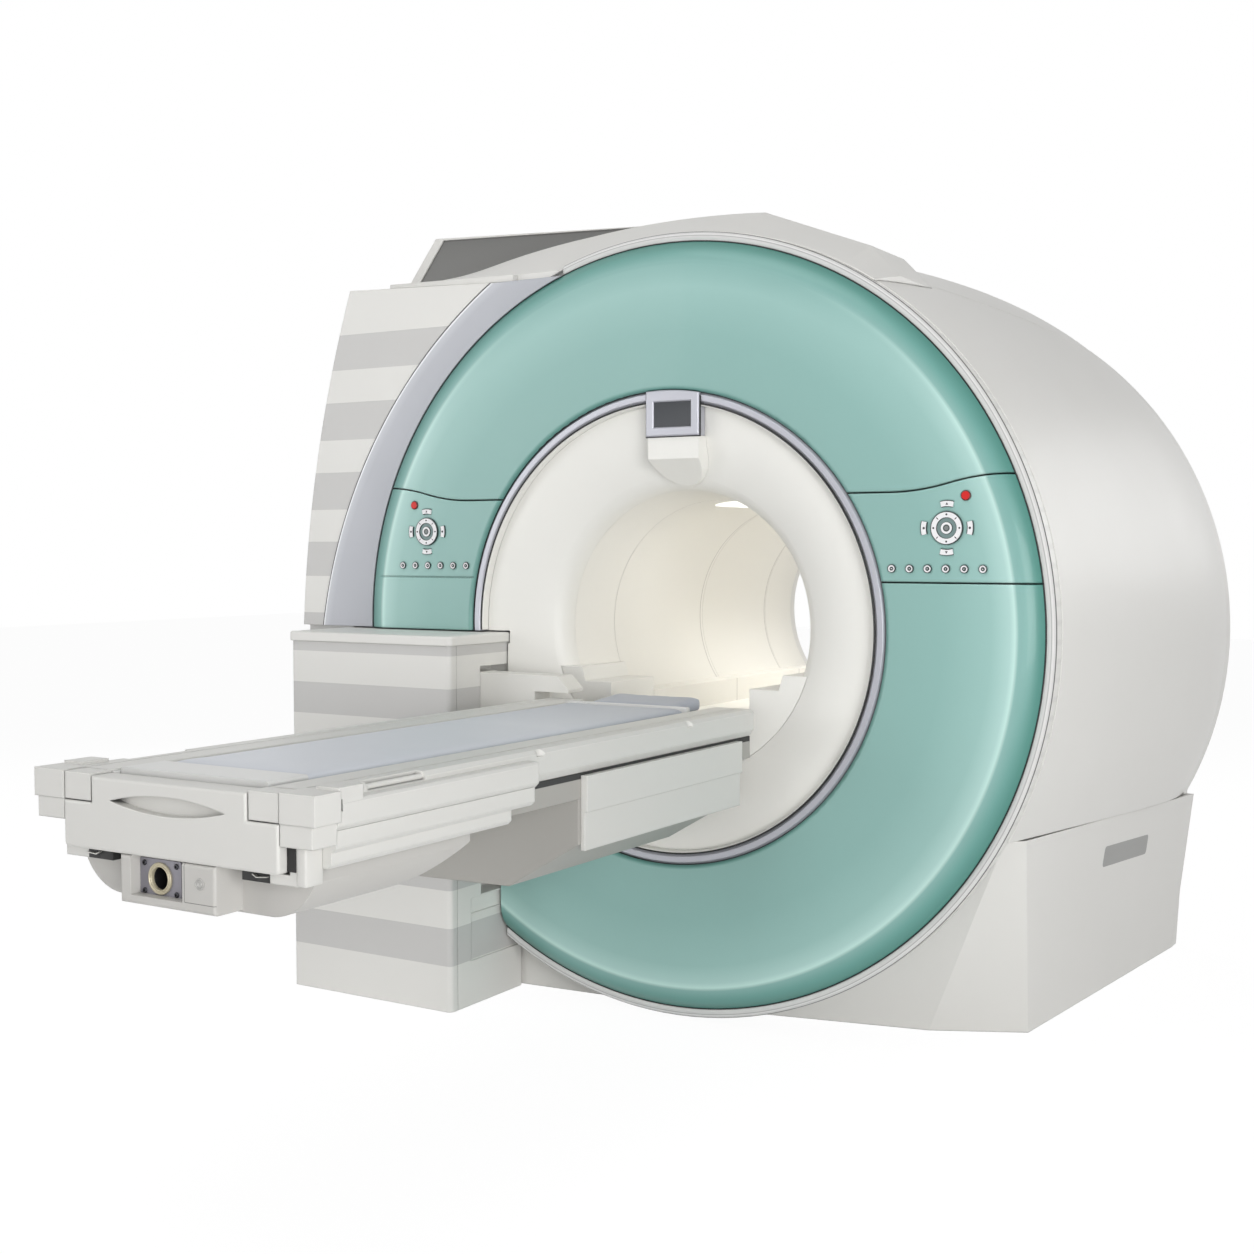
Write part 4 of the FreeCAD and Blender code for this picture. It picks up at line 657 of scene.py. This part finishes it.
by_length = ramp_of(tree, backwards, [(0.0, ARM_PAINT), (FOOT_FROM, BEAM_SHADE_BLACK)], "CONSTANT")
feed(tree, film.inputs["Paint"], mixed(tree, 1.0, by_height, by_length, "DARKEN"))
finish_nodes(beam_grey, "table_frame")

# ---------------------------------------------------------------- drive box
# The drive box under the foot of the table has a removable right half, with thin
# seams beside and below it. A plate for the trolley's plug is screwed in the recess.
BOX_PAINT = paint(196, 194, 190)
SEAM_ACROSS, SEAM_UP, SEAM_HALF, SEAM_REACH = 0.044, 0.660, 0.0007, 0.1
drive_box, film = lacquered("drive_box", BOX_PAINT, gloss=0.46, peel=0.1, peel_size=700.0, edge=0.003,
                            edge_wear=0.5)
tree = drive_box.node_tree
where = object_place(tree)
box_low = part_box("connector_box")[0]
upright = maths(tree, "MULTIPLY", near(tree, where["X"], SEAM_ACROSS, SEAM_HALF),
                near(tree, where["Z"], SEAM_UP + SEAM_REACH, SEAM_REACH))
level = maths(tree, "MULTIPLY", near(tree, where["Z"], SEAM_UP, SEAM_HALF),
              near(tree, where["X"], SEAM_ACROSS + SEAM_REACH, SEAM_REACH))
on_front = near(tree, where["Y"], box_low.y, 0.004)
seam_mask = maths(tree, "MULTIPLY", maths(tree, "MAXIMUM", upright, level), on_front)
parted = mixed(tree, seam_mask, BOX_PAINT, paint(120, 119, 116))
SOCKET = Vector((-0.0385, box_low.y + 0.026, 0.6887))
SOCKET_BORE = 0.0208
bored = maths(tree, "MULTIPLY", maths(tree, "LESS_THAN", off_axis(tree, SOCKET), SOCKET_BORE),
              maths(tree, "GREATER_THAN", where["Y"], SOCKET.y - 0.0005))
feed(tree, film.inputs["Paint"], mixed(tree, bored, parted, paint(26, 26, 27)))
finish_nodes(drive_box, "connector_box")

PLATE_WIDE, PLATE_TALL, PLATE_THICK = 0.103, 0.068, 0.0035
SCREW_ACROSS, SCREW_UP, SCREW_RADIUS = 0.040, 0.025, 0.0052
plate_mauve = lacquered("plate_mauve", paint(142, 140, 148), gloss=0.45, unevenness=0.1, peel=0.2,
                        peel_size=900.0, metallic=0.4, edge=0.001, edge_wear=0.8)[0]
plate = bmesh.new()
hole = bmesh.ops.create_circle(plate, cap_ends=False, segments=48, radius=0.0225)["verts"]
sheet_edges = list({edge for corner in hole for edge in corner.link_edges})
corners = [plate.verts.new((x, y, 0.0)) for x, y in (
    (-PLATE_WIDE / 2, -PLATE_TALL / 2), (PLATE_WIDE / 2, -PLATE_TALL / 2),
    (PLATE_WIDE / 2, PLATE_TALL / 2), (-PLATE_WIDE / 2, PLATE_TALL / 2))]
sheet_edges += [plate.edges.new((corners[n], corners[(n + 1) % 4])) for n in range(4)]
filled = bmesh.ops.triangle_fill(plate, use_beauty=True, edges=sheet_edges)
faces = [item for item in filled["geom"] if isinstance(item, bmesh.types.BMFace)]
drawn_out(plate, faces, (0.0, 0.0, PLATE_THICK))
outer = [edge for edge in plate.edges if abs(edge.verts[0].co.z - edge.verts[1].co.z) > 1e-4
         and abs(edge.verts[0].co.x) > PLATE_WIDE / 2 - 1e-4]
round_edges(plate, outer, 0.004, segments=4)
FACING = Matrix.Rotation(math.radians(90.0), 4, "X")
bmesh.ops.transform(plate, matrix=Matrix.Translation(SOCKET) @ FACING, verts=plate.verts)
make_piece("socket_plate", plate, plate_mauve, "table")


def turned_profile(shape, points, centre, segments=48):
    """A closed profile of (radius, how far it stands out) turned round a line along Y."""
    corners = [shape.verts.new((centre.x + radius, centre.y - out, centre.z)) for radius, out in points]
    edges = [shape.edges.new((corners[n], corners[(n + 1) % len(corners)])) for n in range(len(corners))]
    bmesh.ops.spin(shape, geom=corners + edges, cent=centre, axis=(0.0, 1.0, 0.0), angle=math.tau,
                   steps=segments, use_merge=True)


ring_gold = lacquered("ring_gold", paint(192, 184, 160), gloss=0.4, unevenness=0.1, peel=0.1, peel_size=900.0,
                      metallic=0.3, edge=0.0008, edge_wear=0.6)[0]
ring = bmesh.new()
turned_profile(ring, [(0.0203, 0.0), (0.0290, 0.0), (0.0290, 0.0060), (0.0278, 0.0072), (0.0262, 0.0072),
                      (0.0250, 0.0056), (0.0238, 0.0056), (0.0226, 0.0070), (0.0212, 0.0070),
                      (0.0203, 0.0058)], SOCKET)
make_piece("socket_ring", ring, ring_gold, "table")

screw_dark = lacquered("screw_dark", paint(66, 66, 70), gloss=0.35, unevenness=0.1, peel=0.1,
                       peel_size=1500.0, metallic=0.8, edge=0.0005)[0]
screws = bmesh.new()
for right in (-1, 1):
    for up in (-1, 1):
        seat = SOCKET + Vector((right * SCREW_ACROSS, -PLATE_THICK, up * SCREW_UP))
        turned_profile(screws, [(0.0022, -0.001), (SCREW_RADIUS, -0.001), (SCREW_RADIUS, 0.0012),
                                (SCREW_RADIUS - 0.0012, 0.0024), (0.0022, 0.0026)], seat, segments=24)
        key_hole = bmesh.ops.create_circle(screws, cap_ends=True, segments=24, radius=0.0022)["verts"]
        bmesh.ops.transform(screws, matrix=Matrix.Translation(seat + Vector((0.0, -0.0006, 0.0))) @ FACING,
                            verts=key_hole)
make_piece("socket_screws", screws, screw_dark, "table")

lock = bmesh.new()
LOCK = Vector((0.0815, box_low.y, 0.6955))
turned_profile(lock, [(0.0, -0.001), (0.0105, -0.001), (0.0105, 0.0010), (0.0095, 0.0018),
                      (0.0085, 0.0018), (0.0078, 0.0006), (0.0066, 0.0006), (0.0058, 0.0020),
                      (0.0035, 0.0020), (0.0026, 0.0008), (0.0, 0.0008)], LOCK, segments=32)
lock_grey = lacquered("lock_grey", paint(178, 177, 174), gloss=0.4, unevenness=0.1, peel=0.1,
                      peel_size=1500.0, metallic=0.3, edge=0.0006, edge_wear=0.6)[0]
make_piece("box_lock", lock, lock_grey, "table")

# ---------------------------------------------------------------- foot latches
# Beside the drive box, the trolley's latches have a bent steel catch. Black blocks and
# sheets fill the latch openings and the gaps beside the end cover as painted shade, and
# the right-hand bracket outside them wears a light moulded shoe.
latch_shade_dark = lacquered("latch_shade_dark", paint(34, 34, 34), gloss=0.6, unevenness=0.2, peel=0.2, peel_size=1200.0,
                       edge=0.0008)[0]
catch_steel = lacquered("catch_steel", paint(196, 195, 190), gloss=0.3, unevenness=0.1, peel=0.1,
                        peel_size=1500.0, metallic=0.7, edge=0.0004)[0]
CATCH = ((0.1890, 0.7232), (0.1985, 0.7184), (0.2225, 0.7206))
CATCH_THICK, CATCH_FRONT, CATCH_BACK = 0.0017, -1.7480, -1.7405
for side_name, turned in (("right", 1), ("left", -1)):
    shade_sheets = bmesh.new()
    for low, high in (
        ((0.1600, -1.7412, 0.7085), (0.1946, -1.6982, 0.7286)),
        ((0.1948, -1.7412, 0.7085), (0.2240, -1.7402, 0.7286)),
        ((0.2646, -1.7424, 0.7330), (0.2836, -1.7402, 0.7765)),
    ):
        slab(shade_sheets, low, high)
    round_edges(shade_sheets, shade_sheets.edges[:], 0.0004)
    bmesh.ops.scale(shade_sheets, vec=(turned, 1.0, 1.0), verts=shade_sheets.verts)
    make_piece(f"latch_shade_sheets_{side_name}", shade_sheets, latch_shade_dark, "table")

    catch = bmesh.new()
    upper = [catch.verts.new((across, CATCH_BACK, up)) for across, up in CATCH]
    lower = [catch.verts.new((across, CATCH_BACK, up - CATCH_THICK)) for across, up in reversed(CATCH)]
    outline = catch.faces.new(upper + lower)
    drawn_out(catch, [outline], (0.0, CATCH_FRONT - CATCH_BACK, 0.0))
    round_edges(catch, catch.edges[:], 0.0004)
    bmesh.ops.scale(catch, vec=(turned, 1.0, 1.0), verts=catch.verts)
    make_piece(f"latch_catch_{side_name}", catch, catch_steel, "table")

shoe = bmesh.new()
slab(shoe, (0.2840, -1.7418, 0.7090), (0.3060, -1.6985, 0.7770))
round_edges(shoe, shoe.edges[:], 0.0035, segments=3)
make_piece("bracket_shoe", shoe, table_white, "table")

# ---------------------------------------------------------------- tabletop
# The sliding top is a glass-fibre tray in a paler satin white. A rounded white bar
# is screwed across it between the long mattress and the head pad.
tabletop_white = lacquered("tabletop_white", paint(222, 222, 220), gloss=0.4, peel=0.05, edge=0.003,
                           edge_wear=0.4)[0]
finish_nodes(tabletop_white, "tabletop")

pad_low, pad_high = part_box("mattress")
BAR_BACK = -0.2085
BAR_DEEP, BAR_TALL = 0.013, 0.021
bar = bmesh.new()
bar_low = Vector((pad_low.x - 0.001, BAR_BACK - BAR_DEEP, pad_low.z - 0.0003))
bar_high = Vector((pad_high.x + 0.001, BAR_BACK, pad_low.z + BAR_TALL + 0.004))
slab(bar, bar_low, bar_high)
upper = [edge for edge in bar.edges if min(v.co.z for v in edge.verts) > bar_low.z + 0.001]
round_edges(bar, upper, 0.0045, segments=4)
make_piece("tabletop_bar", bar, tabletop_white, "tabletop")

# ---------------------------------------------------------------- mattress and head pad
# Both pads are foam cores in a welded blue-grey vinyl, with a fine leather grain,
# a little greyer towards the head. The head pad rises towards the bore.
vinyl = bpy.data.materials.new("mattress_vinyl")
vinyl.use_nodes = True
tree = vinyl.node_tree
shader = tree.nodes["Principled BSDF"]
shader.inputs["Sheen Weight"].default_value = 0.15
place = tree.nodes.new("ShaderNodeTexCoord").outputs["Object"]
grain = fed(tree, "ShaderNodeTexVoronoi", Vector=place, Scale=520.0)
pores = bumped(tree, grain.outputs["Distance"], 0.22, 0.0004)
creases = noise(tree, place, 9.0, 5.0)
feed(tree, shader.inputs["Normal"], bumped(tree, creases, 0.12, 0.004, Normal=pores))
feed(tree, shader.inputs["Roughness"], ranged(tree, creases, 0.0, 1.0, 0.42, 0.58))
hue = mixed(tree, creases, paint(207, 211, 219), paint(216, 219, 225))
GREYER_FROM, GREYER_TO = -0.75, -0.15
toward_head = ranged(tree, object_place(tree)["Y"], GREYER_FROM, GREYER_TO)
feed(tree, shader.inputs["Base Color"], mixed(tree, toward_head, hue, paint(205, 208, 214), "MULTIPLY"))

SWELL = 0.0015
SWELL_LIMIT = 0.004
PUFF_FRAMES = 20


def stuffed_pad(name, low, high, rise, voxel):
    """A foam pad: a rounded slab whose top rises towards its back, puffed a little by cloth pressure."""
    core = bmesh.new()
    slab(core, low, high)
    for corner in core.verts:
        if corner.co.y > high.y - 1e-4 and corner.co.z > high.z - 1e-4:
            corner.co.z += rise
    round_edges(core, core.edges[:], 0.007, segments=4)
    bmesh.ops.recalc_face_normals(core, faces=core.faces)
    mesh = bpy.data.meshes.new(name)
    core.to_mesh(mesh)
    core.free()
    pad = bpy.data.objects.new(name, mesh)
    bpy.context.scene.collection.objects.link(pad)
    remesh = pad.modifiers.new("skin", "REMESH")
    remesh.mode, remesh.voxel_size = "VOXEL", voxel
    bpy.context.view_layer.update()
    seen = bpy.context.evaluated_depsgraph_get()
    skin = bpy.data.meshes.new_from_object(pad.evaluated_get(seen))
    pad.modifiers.clear()
    pad.data = skin
    cloth = pad.modifiers.new("vinyl", "CLOTH")
    cloth.settings.use_pressure = True
    cloth.settings.uniform_pressure_force = 4.0
    cloth.settings.effector_weights.gravity = 0.0
    cloth.point_cache.frame_start, cloth.point_cache.frame_end = 1, PUFF_FRAMES
    for moment in range(1, PUFF_FRAMES + 1):
        bpy.context.scene.frame_set(moment)
    seen = bpy.context.evaluated_depsgraph_get()
    puffed = bpy.data.meshes.new_from_object(pad.evaluated_get(seen))
    pad.modifiers.clear()
    for start, end in zip(skin.vertices, puffed.vertices):
        step = end.co - start.co
        if step.length > SWELL_LIMIT:
            step *= SWELL_LIMIT / step.length
        end.co = start.co + step
        end.co.z = max(end.co.z, low.z - SWELL)
    pad.data = puffed
    bpy.context.scene.frame_set(1)
    finer = pad.modifiers.new("finer", "SUBSURF")
    finer.levels = finer.render_levels = 1
    pad.data.name = name
    pad.data.shade_smooth()
    pad.data.materials.clear()
    pad.data.materials.append(vinyl)
    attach(pad, "tabletop")
    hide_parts("mattress")


side = Vector((SWELL * 2, SWELL * 2, SWELL))
top_of_pad = pad_low.z + 0.022
stuffed_pad("long_mattress", Vector((pad_low.x, pad_low.y, pad_low.z)) + side,
            Vector((pad_high.x, BAR_BACK - BAR_DEEP - 0.0005, top_of_pad)) - side, 0.0, 0.008)
stuffed_pad("head_pad", Vector((-0.135, BAR_BACK + 0.0005, pad_low.z)) + side,
            Vector((0.135, pad_high.y, top_of_pad)) - side, 0.012, 0.005)

# ---------------------------------------------------------------- keys and dials
# Every key is a light grey moulded cap, printed with dark rings; the dark grey outline
# round each cap is painted shade in the gap round it. Each dial has a light ring round a
# grey-teal dish and a round button. The stop keys are a clear signal red, with a darker
# red rim painted as shade.
KEY_LIGHT, KEY_DARK = paint(238, 237, 239), paint(50, 60, 60)
SMALL_RINGS = [(0.0, KEY_LIGHT), (0.0012, KEY_DARK), (0.0050, KEY_LIGHT), (0.0085, KEY_DARK)]
ARC_RINGS = [(0.0, KEY_DARK), (0.0523, KEY_LIGHT), (0.0647, KEY_DARK)]
DIAL_RINGS = [
    (0.0, paint(122, 126, 126)), (0.0055, paint(66, 74, 74)), (0.0085, KEY_LIGHT), (0.0138, KEY_DARK),
    (0.0152, paint(120, 142, 141)), (0.0242, KEY_DARK), (0.0256, KEY_LIGHT), (0.0382, KEY_DARK),
]


def key_face(name, centre, rings):
    """A key's moulded cap, printed with rings round a centre."""
    material, film = lacquered(name, KEY_LIGHT, gloss=0.45, peel=0.1, peel_size=1500.0, edge=0.0008,
                                       joint_dark=0.15)
    tree = material.node_tree
    feed(tree, film.inputs["Paint"], ramp_of(tree, off_axis(tree, centre), rings, "CONSTANT"))
    return material


STOP_RINGS = [(0.0, paint(206, 24, 20)), (0.0102, paint(96, 30, 28))]
for side_name in ("left", "right"):
    low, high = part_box(f"{side_name}_dial")
    hub = (low + high) / 2
    low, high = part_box(f"{side_name}_stop_key")
    finish_nodes(key_face(f"{side_name}_stop_red", (low + high) / 2, STOP_RINGS), f"{side_name}_stop_key")
    finish_nodes(key_face(f"{side_name}_dial_face", hub, DIAL_RINGS), f"{side_name}_dial")
    arc_face = key_face(f"{side_name}_arc_face", hub, ARC_RINGS)
    finish_nodes(arc_face, *(f"{side_name}_{kind}_key" for kind in ("up", "down", "inner", "outer")))
    for number in range(1, 7):
        low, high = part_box(f"{side_name}_small_{number}_key")
        name = f"{side_name}_small_{number}"
        finish_nodes(key_face(f"{name}_face", (low + high) / 2, SMALL_RINGS), f"{name}_key")

# Dark marks are printed as thin raised pads: four dots and four ticks on each
# dial's ring, and an arrow or a ring on each arc key.
mark_dark = lacquered("mark_dark", paint(58, 54, 60), gloss=0.5, unevenness=0.1, peel=0.1, peel_size=1500.0,
                      edge=0.0002)[0]
MARK_THICK = 0.0005
DIAL_RING = 0.0325


def printed(shape, centre, radius, segments, turn=0.0, stretch=1.0):
    """A thin raised mark with a number of corners, on a face that looks towards the patient end."""
    disc = bmesh.ops.create_circle(shape, cap_ends=True, segments=segments, radius=radius)["verts"]
    faces = list({face for corner in disc for face in corner.link_faces})
    moved = drawn_out(shape, faces, (0.0, 0.0, MARK_THICK))
    placed = Matrix.Translation(centre) @ FACING @ Matrix.Rotation(turn, 4, "Z") @ Matrix.Diagonal(
        (stretch, 1.0, 1.0, 1.0))
    bmesh.ops.transform(shape, matrix=placed, verts=disc + moved)


for side_name in ("left", "right"):
    dial_low, dial_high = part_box(f"{side_name}_dial")
    hub = (dial_low + dial_high) / 2
    hub.y = dial_low.y
    marks = bmesh.new()
    for number in range(8):
        turn = math.radians(45.0 * number)
        spot = hub + Vector((DIAL_RING * math.sin(turn), 0.0, DIAL_RING * math.cos(turn)))
        if number % 2 == 0:
            printed(marks, spot, 0.0024, 16)
        else:
            printed(marks, spot, 0.0045, 4, -turn, 0.30)
    make_piece(f"{side_name}_dial_marks", marks, mark_dark, f"{side_name}_dial_body")
    for kind, turn, corners in (("up", 0.0, 3), ("down", 180.0, 3), ("inner", 0.0, 12), ("outer", 0.0, 12)):
        key_low, key_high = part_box(f"{side_name}_{kind}_key")
        spot = (key_low + key_high) / 2
        spot.y = key_low.y
        icon = bmesh.new()
        printed(icon, spot, 0.0038 if corners == 3 else 0.0030, corners, math.radians(turn))
        make_piece(f"{side_name}_{kind}_icon", icon, mark_dark, f"{side_name}_{kind}_key_body")

# ---------------------------------------------------------------- skirt vent
# A moulded grey air inlet is clipped on the right skirt under its top seam. It
# slopes with the seam and leans with the skirt, and has a thin pale rim.
VENT_FRONT, VENT_BACK = 0.745, 1.116
VENT_TOP, VENT_TALL, VENT_FALL = 0.4458, 0.0590, 0.0190
vent_grey = lacquered("vent_grey", paint(160, 160, 158), gloss=0.5, unevenness=0.06, peel=0.1,
                      peel_size=700.0, edge=0.002, edge_wear=0.5)[0]
vent = bmesh.new()
bmesh.ops.create_grid(vent, x_segments=1, y_segments=1, size=0.5)
for corner in vent.verts:
    share = corner.co.x + 0.5
    corner.co = Vector((VENT_FRONT + (VENT_BACK - VENT_FRONT) * share,
                        VENT_TOP - VENT_FALL * share + (corner.co.y - 0.5) * VENT_TALL, 0.0))
bmesh.ops.bevel(vent, geom=vent.verts[:], offset=0.012, segments=5, profile=0.5, affect="VERTICES",
                material=-1)
bmesh.ops.inset_region(vent, faces=vent.faces[:], thickness=0.003, depth=0.0)
drawn_out(vent, vent.faces[:], (0.0, 0.0, 0.0022))
top_faces = [face for face in vent.faces if all(v.co.z > 0.002 for v in face.verts)]
largest = max(top_faces, key=lambda face: face.calc_area())
bmesh.ops.translate(vent, vec=(0.0, 0.0, -0.0016), verts=largest.verts[:])
bpy.context.view_layer.update()
for corner in vent.verts:
    along, up, out_by = corner.co
    spot = nodes["skirt_right"].ray_cast(Vector((1.6, along, up)), Vector((-1.0, 0.0, 0.0)))[1]
    corner.co = Vector((spot.x + out_by - 0.0004, along, up))
make_piece("skirt_vent", vent, vent_grey, "magnet")
